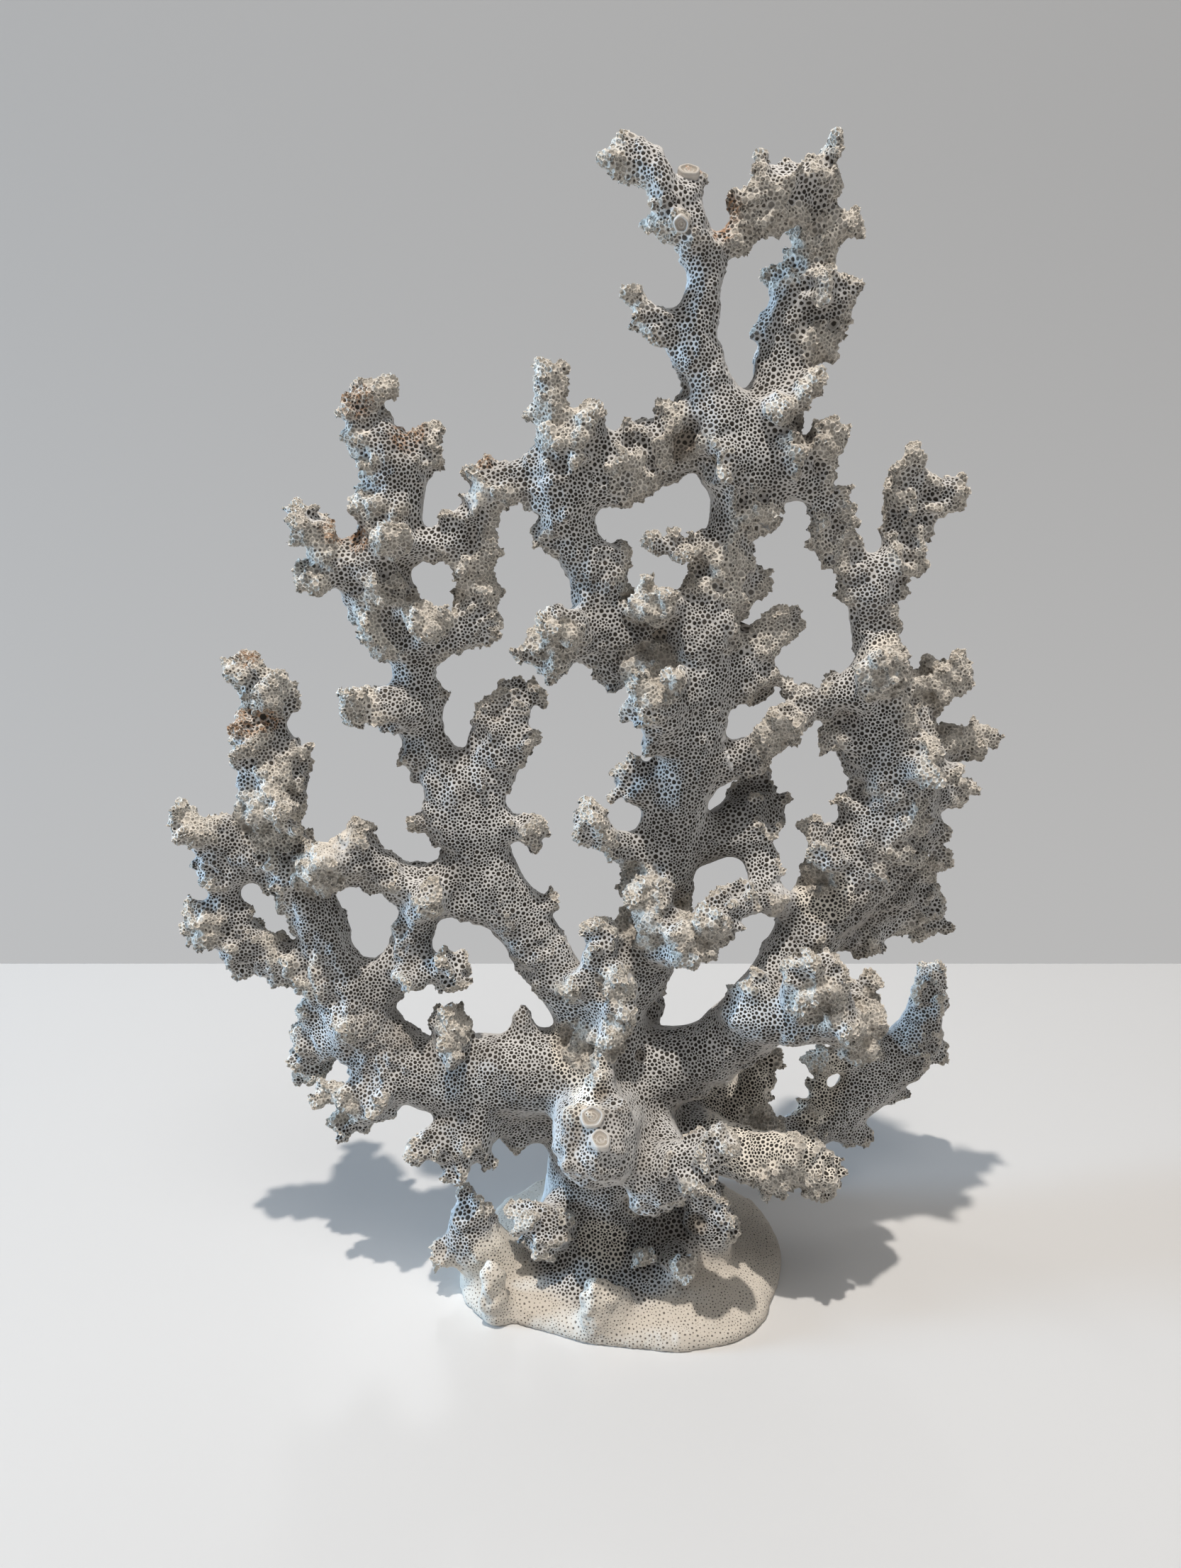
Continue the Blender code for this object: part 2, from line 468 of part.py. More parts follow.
def placed(x, z, depth):
    """The point at this depth that lies on the line from EYE through (x, 0, z)."""
    reach = (depth - EYE.y) / -EYE.y
    return EYE + (Vector((x, 0.0, z)) - EYE) * reach


def ball_of(point):
    x, z, radius, depth = point
    reach = (depth - EYE.y) / -EYE.y
    return (*placed(x, z, depth), (radius + SKIN_GAIN) * reach)


def between(a, b, c, d, share):
    """Catmull-Rom value between b and c."""
    return 0.5 * (
        2 * b
        + (c - a) * share
        + (2 * a - 5 * b + 4 * c - d) * share**2
        + (3 * b - a - 3 * c + d) * share**3
    )


def string_of_balls(line):
    """Balls, as (x, y, z, radius), close together along a smooth line through its points."""
    knots = [ball_of(point) for point in line]
    if len(knots) == 1:
        return knots
    padded = [knots[0], *knots, knots[-1]]
    balls = []
    for i in range(len(knots) - 1):
        a, b, c, d = padded[i : i + 4]
        length = (Vector(c[:3]) - Vector(b[:3])).length
        steps = max(1, math.ceil(length / (BALL_STEP * min(b[3], c[3]))))
        for step in range(steps):
            balls.append(tuple(between(*values, step / steps) for values in zip(a, b, c, d)))
    return [*balls, knots[-1]]


def crust_of(balls, rng):
    """Small lumps that half sink into each ball, the way verrucae crowd a branch's end."""
    lumps = []
    for x, y, z, radius in balls:
        for _ in range(CRUST_LUMPS):
            way = Vector([rng.gauss(0, 1) for _ in range(3)]).normalized()
            size = radius * rng.uniform(*CRUST_SIZES)
            spot = Vector((x, y, z)) + way * (radius - CRUST_SINK * size)
            lumps.append((*spot, size))
    return lumps


def unit_ball():
    """Corners and faces of a ball of radius 1, the pattern for every ball."""
    mesh = bmesh.new()
    bmesh.ops.create_icosphere(mesh, subdivisions=2, radius=1.0)
    corners = [vertex.co.copy() for vertex in mesh.verts]
    faces = [[vertex.index for vertex in face.verts] for face in mesh.faces]
    mesh.free()
    return corners, faces


def add_balls(balls, corners, faces):
    """Appends the balls' own corners and faces to the two lists."""
    ball_corners, ball_faces = unit_ball()
    for x, y, z, radius in balls:
        first = len(corners)
        corners.extend((x + radius * c.x, y + radius * c.y, z + radius * c.z) for c in ball_corners)
        faces.extend([first + corner for corner in face] for face in ball_faces)


def add_foot_plate(corners, faces):
    """The spread foot: rings that climb from the outline to the crown, on a skirt below the ground."""
    outline = [Vector((x, y, 0.0)) for x, y in FOOT_OUTLINE]
    middle = Vector((*FOOT_MIDDLE, 0.0))
    rings = [[p - Vector((0, 0, FOOT_DEPTH_BELOW)) for p in outline]]
    rings.append([p + Vector((0, 0, FOOT_SIDE_HEIGHT)) for p in outline])
    for i in range(FOOT_RINGS):
        share = i / (FOOT_RINGS - 1)
        reach = FOOT_EDGE_REACH + (FOOT_CROWN_REACH - FOOT_EDGE_REACH) * share
        height = FOOT_EDGE_HEIGHT + (FOOT_CROWN_HEIGHT - FOOT_EDGE_HEIGHT) * math.sin(share * math.pi / 2)
        rings.append([middle + (p - middle) * reach + Vector((0, 0, height)) for p in outline])
    first, count = len(corners), len(outline)
    for ring in rings:
        corners.extend(tuple(p) for p in ring)
    for low in range(first, first + count * (len(rings) - 1), count):
        for i in range(count):
            j = (i + 1) % count
            faces.append([low + i, low + j, low + count + j, low + count + i])
    faces.append(list(range(first + count - 1, first - 1, -1)))
    faces.append(list(range(first + count * (len(rings) - 1), first + count * len(rings))))


def object_from(corners, faces, name):
    data = bpy.data.meshes.new(name)
    data.from_pydata(corners, [], faces)
    made = bpy.data.objects.new(name, data)
    bpy.context.collection.objects.link(made)
    return made


def with_modifiers_applied(thing):
    """Replaces the object's mesh by the one that its modifiers make."""
    bpy.context.view_layer.update()
    graph = bpy.context.evaluated_depsgraph_get()
    data = bpy.data.meshes.new_from_object(thing.evaluated_get(graph))
    thing.modifiers.clear()
    thing.data = data
    return thing


def fused_skin():
    """The whole coral as one faceted skin, in millimetres."""
    rng = random.Random(CRUST_SEED)
    balls = []
    for lines in [*LIMBS.values(), *BEHIND.values()]:
        for line in lines:
            balls.extend(string_of_balls(line))
    for lines in CRUSTED.values():
        for line in lines:
            knobs = string_of_balls(line)
            balls.extend([*knobs, *crust_of(knobs, rng)])
    corners, faces = [], []
    add_balls(balls, corners, faces)
    add_foot_plate(corners, faces)
    skin = object_from(corners, faces, "skin")
    grain = skin.modifiers.new("fuse", "REMESH")
    grain.mode = "VOXEL"
    grain.voxel_size = SKIN_GRAIN
    smooth = skin.modifiers.new("round", "SMOOTH")
    smooth.factor = 0.5
    smooth.iterations = SKIN_PASSES
    with_modifiers_applied(skin)
    thin = skin.modifiers.new("facet", "DECIMATE")
    thin.ratio = FACETS / (2 * len(skin.data.polygons))
    thin.use_collapse_triangulate = True
    return with_modifiers_applied(skin)


def box_cutter(name, place, sizes):
    signs = [(x, y, z) for x in (-0.5, 0.5) for y in (-0.5, 0.5) for z in (-0.5, 0.5)]
    corners = [place @ Vector([side * sign for side, sign in zip(sizes, way)]) for way in signs]
    faces = [(0, 1, 3, 2), (4, 6, 7, 5), (0, 4, 5, 1), (2, 3, 7, 6), (0, 2, 6, 4), (1, 5, 7, 3)]
    return object_from(corners, faces, name)


def sawn(skin):
    """Takes the saw's kerf out of the skin at each main fork, and cuts the foot flat on the ground."""
    cutters = []
    for name, (x, z, depth, heading, half_across, half_deep) in SAW_CUTS.items():
        turn = Matrix.Rotation(-math.radians(heading), 4, "Y")
        place = Matrix.Translation(placed(x, z, depth)) @ turn
        cutters.append(box_cutter(name, place, (SAW_KERF, 2 * half_deep, 2 * half_across)))
    ground = Matrix.Translation((0, 0, -GROUND_CUT[2] / 2))
    cutters.append(box_cutter("flat cut of the foot", ground, GROUND_CUT))
    for cutter in cutters:
        cut = skin.modifiers.new(cutter.name, "BOOLEAN")
        cut.operation = "DIFFERENCE"
        cut.object = cutter
        cut.solver = "EXACT"
    with_modifiers_applied(skin)
    for cutter in cutters:
        bpy.data.objects.remove(cutter)
    return skin


def loose_parts(skin):
    """The separate closed bodies of the sawn skin, each as a list of its vertices' indices."""
    mesh = skin.data
    neighbours = [[] for _ in mesh.vertices]
    for edge in mesh.edges:
        a, b = edge.vertices
        neighbours[a].append(b)
        neighbours[b].append(a)
    seen, parts = set(), []
    for start in range(len(mesh.vertices)):
        if start in seen:
            continue
        seen.add(start)
        part, queue = [], [start]
        while queue:
            here = queue.pop()
            part.append(here)
            for there in neighbours[here]:
                if there not in seen:
                    seen.add(there)
                    queue.append(there)
        parts.append(part)
    return parts


def part_near(skin, parts, spot):
    """The index of the part whose surface is nearest to a point inside it."""
    vertices = skin.data.vertices
    return min(
        range(len(parts)), key=lambda i: min((vertices[v].co - spot).length_squared for v in parts[i])
    )


def limb_object(skin, part, name, material):
    """One limb as its own object, in metres."""
    index = {old: new for new, old in enumerate(sorted(part))}
    corners = [skin.data.vertices[old].co * MM for old in sorted(part)]
    faces = [
        [index[v] for v in face.vertices] for face in skin.data.polygons if face.vertices[0] in index
    ]
    data = bpy.data.meshes.new(name)
    data.from_pydata(corners, [], faces)
    limb = bpy.data.objects.new(name, data)
    bpy.context.collection.objects.link(limb)
    data.materials.append(material)
    return limb


def coral_material(name):
    material = bpy.data.materials.new(name)
    material.use_nodes = True
    shader = material.node_tree.nodes["Principled BSDF"]
    shader.inputs["Base Color"].default_value = CORAL_COLOUR
    shader.inputs["Roughness"].default_value = 0.9
    shader.inputs["Metallic"].default_value = 0.0
    return material


def main():
    clear_scene()
    skin = sawn(fused_skin())
    parts = loose_parts(skin)
    print("corners of each sawn body:", sorted((len(part) for part in parts), reverse=True))
    for name, lines in LIMBS.items():
        line = lines[0]
        x, z, _, depth = line[len(line) // 2]
        part = parts[part_near(skin, parts, placed(x, z, depth))]
        limb_object(skin, part, name, coral_material(name))
    bpy.data.objects.remove(skin)


main()
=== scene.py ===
# %% [markdown]
# # Branch coral skeleton
#
# This lesson turns the faceted limbs of a coral into the pitted, crusted skeleton that the eye sees. The
# limbs come in as a fixed frame, sawn apart at their forks. We fuse them, grow crust on their tips, lay a
# net of cells over the skin, sink a pit into each cell with Geometry Nodes, and part the skin at the forks
# again.

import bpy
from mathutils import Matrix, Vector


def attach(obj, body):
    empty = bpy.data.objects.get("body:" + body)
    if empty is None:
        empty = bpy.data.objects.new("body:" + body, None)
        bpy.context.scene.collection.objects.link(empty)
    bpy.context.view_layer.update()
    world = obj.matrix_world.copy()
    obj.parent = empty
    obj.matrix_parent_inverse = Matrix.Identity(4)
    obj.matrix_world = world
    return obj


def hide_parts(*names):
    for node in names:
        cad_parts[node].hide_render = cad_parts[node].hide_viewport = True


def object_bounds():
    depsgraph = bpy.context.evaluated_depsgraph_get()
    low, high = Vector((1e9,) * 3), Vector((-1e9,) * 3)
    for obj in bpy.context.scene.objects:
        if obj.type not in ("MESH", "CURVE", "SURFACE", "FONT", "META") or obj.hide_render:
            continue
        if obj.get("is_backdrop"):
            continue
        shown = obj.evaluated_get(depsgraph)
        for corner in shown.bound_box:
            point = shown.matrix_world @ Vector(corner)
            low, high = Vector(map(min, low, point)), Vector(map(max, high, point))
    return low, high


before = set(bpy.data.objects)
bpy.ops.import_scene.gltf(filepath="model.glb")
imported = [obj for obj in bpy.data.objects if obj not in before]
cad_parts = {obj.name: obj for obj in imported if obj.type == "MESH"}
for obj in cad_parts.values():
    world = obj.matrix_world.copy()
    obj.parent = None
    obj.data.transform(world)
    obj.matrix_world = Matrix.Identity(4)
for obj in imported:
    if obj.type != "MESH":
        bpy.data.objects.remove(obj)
cad_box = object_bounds()
print("limbs:", len(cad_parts), "box in metres:", [tuple(round(v, 4) for v in p) for p in cad_box])

# %% Bring in the tools of the trade
import math
import time

import bmesh
import bpy
import numpy as np
from mathutils import Matrix, Vector, noise
from mathutils.bvhtree import BVHTree

MM = 0.001  # metres
EYE = Vector((-0.012, -0.342, 0.266))  # where the photograph was taken from, metres
PITCH = 15  # degrees down
LENS = 26  # mm
LONG_SIDE = 36  # of the sensor, mm
PICTURE_WIDTH = 1666  # pixels
PICTURE_HEIGHT = 2212
PIXELS_PER_LENS = PICTURE_HEIGHT * LENS / LONG_SIDE
started = time.time()
dice = np.random.default_rng(7)


def clock():
    return f"{time.time() - started:.1f} s"


print("a millimetre at arm's length, 0.35 m, spans", round(PIXELS_PER_LENS * MM / 0.35, 1), "pixels")

# %% [markdown]
# ## Small helpers
#
# Shaping is done in millimetres, the size of the pits and crumbs. Points and faces travel as arrays, so
# that a hundred thousand of them move in one step. Only the finished pieces are scaled to metres.


# %% Helpers for meshes
def points_of(mesh):
    """The mesh's points, one row each."""
    flat = np.empty(len(mesh.vertices) * 3, np.float32)
    mesh.vertices.foreach_get("co", flat)
    return flat.reshape(-1, 3).astype(float)


def normals_of(mesh):
    """The outward direction at each point."""
    flat = np.empty(len(mesh.vertices) * 3, np.float32)
    mesh.vertex_normals.foreach_get("vector", flat)
    return flat.reshape(-1, 3).astype(float)


def edges_of(mesh):
    """The numbers of each edge's two points."""
    flat = np.empty(len(mesh.edges) * 2, np.int32)
    mesh.edges.foreach_get("vertices", flat)
    return flat.reshape(-1, 2)


def move_points(mesh, points):
    mesh.vertices.foreach_set("co", points.astype(np.float32).ravel())
    mesh.update()


def set_number(mesh, name, values):
    """Writes one number per point as a named attribute."""
    layer = mesh.attributes.get(name) or mesh.attributes.new(name, "FLOAT", "POINT")
    layer.data.foreach_set("value", values.astype(np.float32))


def helper_object(mesh, name):
    thing = bpy.data.objects.new(name, mesh)
    bpy.context.scene.collection.objects.link(thing)
    return thing


def evaluated(thing):
    """A plain mesh of the object as its modifiers leave it. The modifiers are then taken off."""
    bpy.context.view_layer.update()
    graph = bpy.context.evaluated_depsgraph_get()
    mesh = bpy.data.meshes.new_from_object(thing.evaluated_get(graph))
    thing.modifiers.clear()
    return mesh


def voxel_remesh(thing, name, grain):
    """A remesh that rebuilds the object's skin from cells with sides of that grain."""
    remesh = thing.modifiers.new(name, "REMESH")
    remesh.mode = "VOXEL"
    remesh.voxel_size = grain


def soften(thing, name, factor, passes):
    smooth = thing.modifiers.new(name, "SMOOTH")
    smooth.factor = factor
    smooth.iterations = passes


def eased(values, low, high):
    """0 below low, 1 above high, with a soft step between."""
    share = np.clip((values - low) / (high - low), 0, 1)
    return share * share * (3 - 2 * share)


# %% [markdown]
# ## Fuse the sawn limbs
#
# The real skeleton is one grown piece, but its limbs come in with a saw kerf of 0.3 mm between them. Each
# limb is puffed up by a hair so that neighbours overlap, and a voxel remesh fuses them. A few smoothing
# passes then melt the flat facets into round branches. A Boolean union would keep every facet.

# %% Fuse the limbs
KERF_FILL = 0.4  # how far each limb is puffed up, mm
FUSE_GRAIN = 1.2  # side of the remesh's cells, mm
FUSE_PASSES = 10
DOUBLES = 1e-6  # points nearer than this are one, metres


def puffed_limb(limb_object):
    """A limb's mesh with its doubled points merged, in millimetres, pushed out along its normals."""
    limb = bmesh.new()
    limb.from_mesh(limb_object.data)
    bmesh.ops.remove_doubles(limb, verts=limb.verts, dist=DOUBLES)
    bmesh.ops.scale(limb, vec=(1 / MM, 1 / MM, 1 / MM), verts=limb.verts)
    limb.normal_update()
    push = [vertex.normal * KERF_FILL for vertex in limb.verts]
    for vertex, way in zip(limb.verts, push):
        vertex.co += way
    return limb


def fused_skin():
    corners, faces = [], []
    for limb_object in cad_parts.values():
        limb = puffed_limb(limb_object)
        first = len(corners)
        corners.extend(tuple(vertex.co) for vertex in limb.verts)
        faces.extend([first + vertex.index for vertex in face.verts] for face in limb.faces)
        limb.free()
    mesh = bpy.data.meshes.new("skin")
    mesh.from_pydata(corners, [], faces)
    thing = helper_object(mesh, "skin")
    voxel_remesh(thing, "fuse", FUSE_GRAIN)
    soften(thing, "melt", 0.5, FUSE_PASSES)
    thing.data = evaluated(thing)
    return thing


skin = fused_skin()
print("fused skin:", len(skin.data.vertices), "points", clock())

# %% [markdown]
# ## Find the tips and knobs
#
# On this coral the crust sits on the tips, the knobs and the outer ends, while the trunk and the forks'
# crotches stay smooth and evenly pitted. Heavy smoothing melts a tip far more than a stem, so the distance
# that a point travels as the skin melts tells how much of a tip it is. Painting the tips by hand would
# have to be done again after each change of the limbs.

# %% Measure how far each point stands out
MELT_PASSES = 140
CRUST_STARTS = 1.1  # melt travel at which crust begins, mm
CRUST_FULL = 2.8  # and at which it is whole, mm


def melted(points, edges, passes):
    """The points after many passes of moving halfway to the mean of their neighbours."""
    a, b = edges.T
    size = len(points)
    count = np.bincount(edges.ravel(), minlength=size)
    for _ in range(passes):
        for axis in range(3):
            line = points[:, axis]
            total = np.bincount(a, line[b], size) + np.bincount(b, line[a], size)
            points[:, axis] = 0.5 * line + 0.5 * total / count
    return points


points, normals = points_of(skin.data), normals_of(skin.data)
stands_out = ((points - melted(points.copy(), edges_of(skin.data), MELT_PASSES)) * normals).sum(1)
print("melt travel:", np.percentile(stands_out, [5, 25, 50, 75, 95]).round(2), "mm", clock())

# %% [markdown]
# ## Say where the crust is
#
# The measure finds most of the crust, and two lists of places put right what it can't know: crusted knobs
# in the middle of the fan, and tips that have stayed pitted. Each place is a soft round spot on the fan.
# The outer limbs are only partly worn, so a slow noise lays their crust in patches.


# %% Name the places
def wander(points, size, seed):
    """A smooth random number from about -1 to 1 at each point, changing over the given size in mm."""
    shift = Vector((seed * 17.3, seed * 5.1, seed * 9.7))
    return np.array([noise.noise(Vector(point) / size + shift) for point in points.tolist()])


def near_places(points, places):
    """1 in the middle of the given places, x, z and a radius seen from the front, and 0 outside them."""
    share = np.zeros(len(points))
    for x, z, radius in places:
        away = np.hypot(points[:, 0] - x, points[:, 2] - z) / radius
        share = np.maximum(share, 1 - eased(away, 0.75, 1.25))
    return share


CRUST_PLACES = (
    (2, 142, 9), (4, 131, 8), (22, 130, 10), (-4, 113, 6), (-3, 101, 5), (-4, 92, 4), (-20, 108, 4),
    (-55, 97, 7), (57, 114, 9), (-16, 90, 7), (76, 99, 12), (60, 145, 6), (-98, 145, 9), (-118, 165, 8),
    (-60, 228, 8), (-22, 221, 8), (6, 211, 9), (45, 190, 8), (78, 211, 9), (95, 207, 9), (5, 232, 8),
    (-95, 68, 8), (50, 45, 12), (8, 34, 8),
)
PITTED_PLACES = (
    (-8, 17, 10), (-44, 14, 9), (-54, 24, 10), (40, 62, 12), (20, 30, 8),
    (20, 318, 10), (18, 303, 10), (24, 290, 10), (21, 334, 6), (4, 350, 7), (12, 344, 7), (36, 298, 9),
    (42, 312, 7), (-12, 245, 10), (-3, 228, 9), (-16, 234, 9), (-22, 262, 8), (20, 224, 10), (22, 208, 10),
    (18, 190, 13), (12, 165, 15), (-68, 205, 9), (-62, 190, 11), (-57, 174, 11), (-70, 278, 6),
    (-68, 266, 7), (-50, 162, 10), (-45, 148, 11), (-42, 188, 9), (72, 237, 8), (70, 222, 9),
    (76, 185, 10), (66, 150, 9), (25, 90, 14), (38, 104, 9), (-40, 85, 17), (-62, 72, 13), (-95, 132, 13),
    (-88, 114, 12), (-125, 148, 8),
)
FAN_MIDDLE = 110  # height round which the outer limbs spread, mm
PATCH_SIZE = 16  # mm
PATCH_SEED = 1


def crust_at(points, stands_out):
    """How crusted each point is: the tips fully, the outer limbs in patches, and the named places."""
    x, y, z = points.T
    tips = eased(stands_out, CRUST_STARTS, CRUST_FULL)
    reach = np.hypot(x, 0.8 * (z - FAN_MIDDLE))
    outer = eased(reach, 45, 120) * eased(z, 60, 110)
    patches = eased(wander(points, PATCH_SIZE, PATCH_SEED) + 0.25 * stands_out, -0.3, 0.5)
    found = np.maximum(tips, 0.8 * outer * patches)
    front_stub = eased(-y, 22, 30) * eased(z, 24, 30) * (1 - eased(x, 8, 16))
    kept = found * (1 - 0.85 * near_places(points, PITTED_PLACES)) * (1 - 0.7 * front_stub)
    return np.maximum(kept, 0.95 * near_places(points, CRUST_PLACES)) * eased(z, 3, 12)


# %% [markdown]
# ## Draw the skin in
#
# Crumbs and ledges will stand on the skin, and the coral must not grow thicker by them. So the skin is
# first drawn in along its normals, more so under the crust, and most beside the narrow holes, which would
# close otherwise.

# %% Draw the skin in
SHRINK = 0.45  # how far the whole skin is drawn in, mm
CRUST_SHRINK = 0.9  # more of the same under the crust, mm
HOLE_SHRINK = 0.7  # and beside the narrow holes, mm
NARROW_HOLES = ((-56, 241, 13), (26, 298, 9), (-105, 131, 9), (24, 163, 7))  # x, z and radius, mm

crust = crust_at(points, stands_out)
narrow = near_places(points, NARROW_HOLES)
crust *= 1 - 0.5 * narrow
set_number(skin.data, "crust", crust)
set_number(skin.data, "free", eased(points[:, 2], 14, 30) * (1 - narrow))
draw_in = (SHRINK + CRUST_SHRINK * crust + HOLE_SHRINK * narrow) * eased(points[:, 2], 1, 4)
move_points(skin.data, points - normals * draw_in[:, None])
print("crust share:", crust.mean().round(2), "greatest draw:", draw_in.max().round(2), "mm")

# %% [markdown]
# ## Helpers for node trees
#
# What repeats on the coral, such as its crumbs and its pits, is grown with Geometry Nodes. Each tree is
# built here in the script, with named inputs and a fixed seed, and can be read from top to bottom.

# %% Helpers for building a tree
def socket_named(sockets, name):
    """The enabled socket of that name."""
    return next(s for s in sockets if s.enabled and name in (s.name, s.identifier))


def feed(tree, socket, value):
    """Sets a socket to a value, or links it to a socket or to a node's first enabled output."""
    if isinstance(value, bpy.types.Node):
        value = next(s for s in value.outputs if s.enabled)
    if isinstance(value, bpy.types.NodeSocket):
        tree.links.new(value, socket)
    else:
        socket.default_value = value


def node(tree, kind, feeds=None, **settings):
    """A new node with the given settings. Its feeds go by a socket's name or its number."""
    made = tree.nodes.new(kind)
    for name, value in settings.items():
        setattr(made, name, value)
    for name, value in (feeds or {}).items():
        feed(tree, made.inputs[name] if isinstance(name, int) else socket_named(made.inputs, name), value)
    return made


def geometry_tree(name, inputs):
    """A tree with a geometry in and out and named inputs, and the sockets that it reads and fills."""
    tree = bpy.data.node_groups.new(name, "GeometryNodeTree")
    tree.interface.new_socket("Geometry", in_out="INPUT", socket_type="NodeSocketGeometry")
    for label, kind in inputs.items():
        tree.interface.new_socket(label, in_out="INPUT", socket_type="NodeSocket" + kind)
    tree.interface.new_socket("Geometry", in_out="OUTPUT", socket_type="NodeSocketGeometry")
    return tree, tree.nodes.new("NodeGroupInput").outputs, tree.nodes.new("NodeGroupOutput").inputs


def dress(tree, grown, material, result):
    """Ends the tree: makes the instances real, gives them the material and hands the geometry out."""
    real = node(tree, "GeometryNodeRealizeInstances", {"Geometry": grown})
    dressed = node(tree, "GeometryNodeSetMaterial", {"Geometry": real, "Material": material})
    tree.links.new(dressed.outputs[0], result["Geometry"])


def add_tree(thing, tree, values):
    """Puts the tree on the object as a modifier and sets its inputs by their sockets' identifiers."""
    modifier = thing.modifiers.new(tree.name, "NODES")
    modifier.node_group = tree
    for item in tree.interface.items_tree:
        if item.in_out == "INPUT" and item.name in values:
            modifier[item.identifier] = values[item.name]


# %% Helpers for sums and noises
def arithmetic(tree, operation, *values):
    return node(tree, "ShaderNodeMath", dict(enumerate(values)), operation=operation)


def sum_of(tree, a, b):
    return arithmetic(tree, "ADD", a, b)


def product(tree, a, b):
    return arithmetic(tree, "MULTIPLY", a, b)


def scaled_sum(tree, value, factor, added):
    """value * factor + added"""
    return arithmetic(tree, "MULTIPLY_ADD", value, factor, added)


def scaled_vector(tree, vector, factor):
    return node(tree, "ShaderNodeVectorMath", {0: vector, "Scale": factor}, operation="SCALE")


def ramp(tree, value, low, high, ends=(0.0, 1.0)):
    """A soft step from ends[0] at low to ends[1] at high."""
    return node(
        tree,
        "ShaderNodeMapRange",
        {"Value": value, "From Min": low, "From Max": high, "To Min": ends[0], "To Max": ends[1]},
        interpolation_type="SMOOTHSTEP",
    )


def noise_field(tree, place, scale, detail, roughness=0.5, distortion=0.0):
    """A noise from 0 to 1. It changes over about 1 / scale of the place's unit."""
    return node(
        tree,
        "ShaderNodeTexNoise",
        {"Vector": place, "Scale": scale, "Detail": detail, "Roughness": roughness,
         "Distortion": distortion},
    ).outputs["Fac"]


def off_middle(tree, wave):
    """How far a noise lies from its middle value: 0 along thin winding lines, more between them."""
    return arithmetic(tree, "ABSOLUTE", arithmetic(tree, "SUBTRACT", wave, 0.5))


# %% Helpers for fields on a mesh
def attribute(tree, name):
    return node(tree, "GeometryNodeInputNamedAttribute", {"Name": name}, data_type="FLOAT")


def stored(tree, geometry, name, value, domain, kind="FLOAT", chosen=True):
    """The geometry with the value written as a named attribute, everywhere or on the chosen parts."""
    return node(
        tree,
        "GeometryNodeStoreNamedAttribute",
        {"Geometry": geometry, "Selection": chosen, "Name": name, "Value": value},
        data_type=kind,
        domain=domain,
    ).outputs[0]


def less(tree, a, b):
    return node(tree, "FunctionNodeCompare", {"A": a, "B": b}, operation="LESS_THAN")


def random_value(tree, low, high, seed, kind="FLOAT"):
    return node(tree, "FunctionNodeRandomValue", {"Min": low, "Max": high, "Seed": seed}, data_type=kind)


# %% [markdown]
# ## Mix the coral's finish
#
# Dry coral is chalky: pale grey where it is smooth, cream where the crust has been worn open, beige on the
# foot, and dark in the pits, where dust and shade gather. Painted shade, with some dust in it, darkens the
# undersides, the hollows and the crust's valleys and creases, and a few knobs that the lamp lights strongly
# are painted paler along with the cream. The pit's round mouth comes from the cell's chart, cream, painted
# light, dust and painted shade come from the cells' numbers, and the grain from noise in Object
# coordinates, in millimetres. In the crust some mouths stay shut, as where the real walls are broken. A few
# tips carry a rusty stain. An image of the surface would stretch over the knobs, while noise and numbers
# fit any shape.

# %% Choose the tones
SMOOTH_LIGHT = (0.80, 0.79, 0.78, 1)
SMOOTH_DULL = (0.56, 0.548, 0.535, 1)
CREAM = (0.98, 0.92, 0.83, 1)
FOOT_TONE = (0.50, 0.43, 0.34, 1)
PIT_SHADE = (0.05, 0.043, 0.036, 1)
GRIME_AND_SHADE = (0.33, 0.285, 0.235, 1)
RUST = (0.42, 0.22, 0.10, 1)
FOOT_WEAR = (0.6, 0.0)  # share of the foot's tone, low on the coral and above the foot
DUST_AND_SHADE = {"under": 0.4, "hollow": 0.5, "valley": 0.25, "crease": 0.15}  # share of grime and painted shade in each
RUST_SHARE = 0.85
MOUTH = (0.72, 0.92)  # from the pit's middle, 0, to its rim, 1: dark up to here, and skin from here
CELL_FIELDS = ("crust", "plain", "chance", "cream_and_light", "under", "hollow", "fold", "rust")


def blend(tree, share, a, b):
    """A mix of two colours: a where the share is 0, b where it is 1."""
    mixed = node(tree, "ShaderNodeMix", data_type="RGBA")
    for index, value in ((0, share), (6, a), (7, b)):
        feed(tree, mixed.inputs[index], value)
    return mixed.outputs[2]


def finish_fields(tree):
    """All that the finish is mixed from: the cells' numbers, the way to the pit's middle, and noises."""
    fields = {
        name: node(tree, "ShaderNodeAttribute", attribute_name=name).outputs["Fac"] for name in CELL_FIELDS
    }
    place = node(tree, "ShaderNodeTexCoord").outputs["Object"]
    mm = scaled_vector(tree, place, 1 / MM)
    chart = node(tree, "ShaderNodeUVMap", uv_map="cell")
    fields["rim"] = node(tree, "ShaderNodeVectorMath", {0: chart}, operation="LENGTH").outputs["Value"]
    fields["height"] = node(tree, "ShaderNodeSeparateXYZ", {"Vector": mm}).outputs["Z"]
    fields["speck"] = noise_field(tree, mm, 2.2, 3.0)
    fields["patch"] = noise_field(tree, mm, 0.06, 3.0)
    fields["lump"] = noise_field(tree, mm, 0.8, 4.0, 0.7)
    fields["off crease"] = off_middle(tree, noise_field(tree, mm, 0.55, 5.0, 0.65, 1.2))
    return fields


# %% Draw the pits' mouths
def uneven_rim(tree, fields):
    """The way from the pit's middle, larger where the pit is small, and uneven by the fine specks."""
    smaller = scaled_sum(tree, fields["plain"], 0.45, fields["rim"])
    varied = scaled_sum(tree, fields["chance"], 0.25, smaller)
    return scaled_sum(tree, fields["speck"], 0.22, varied)


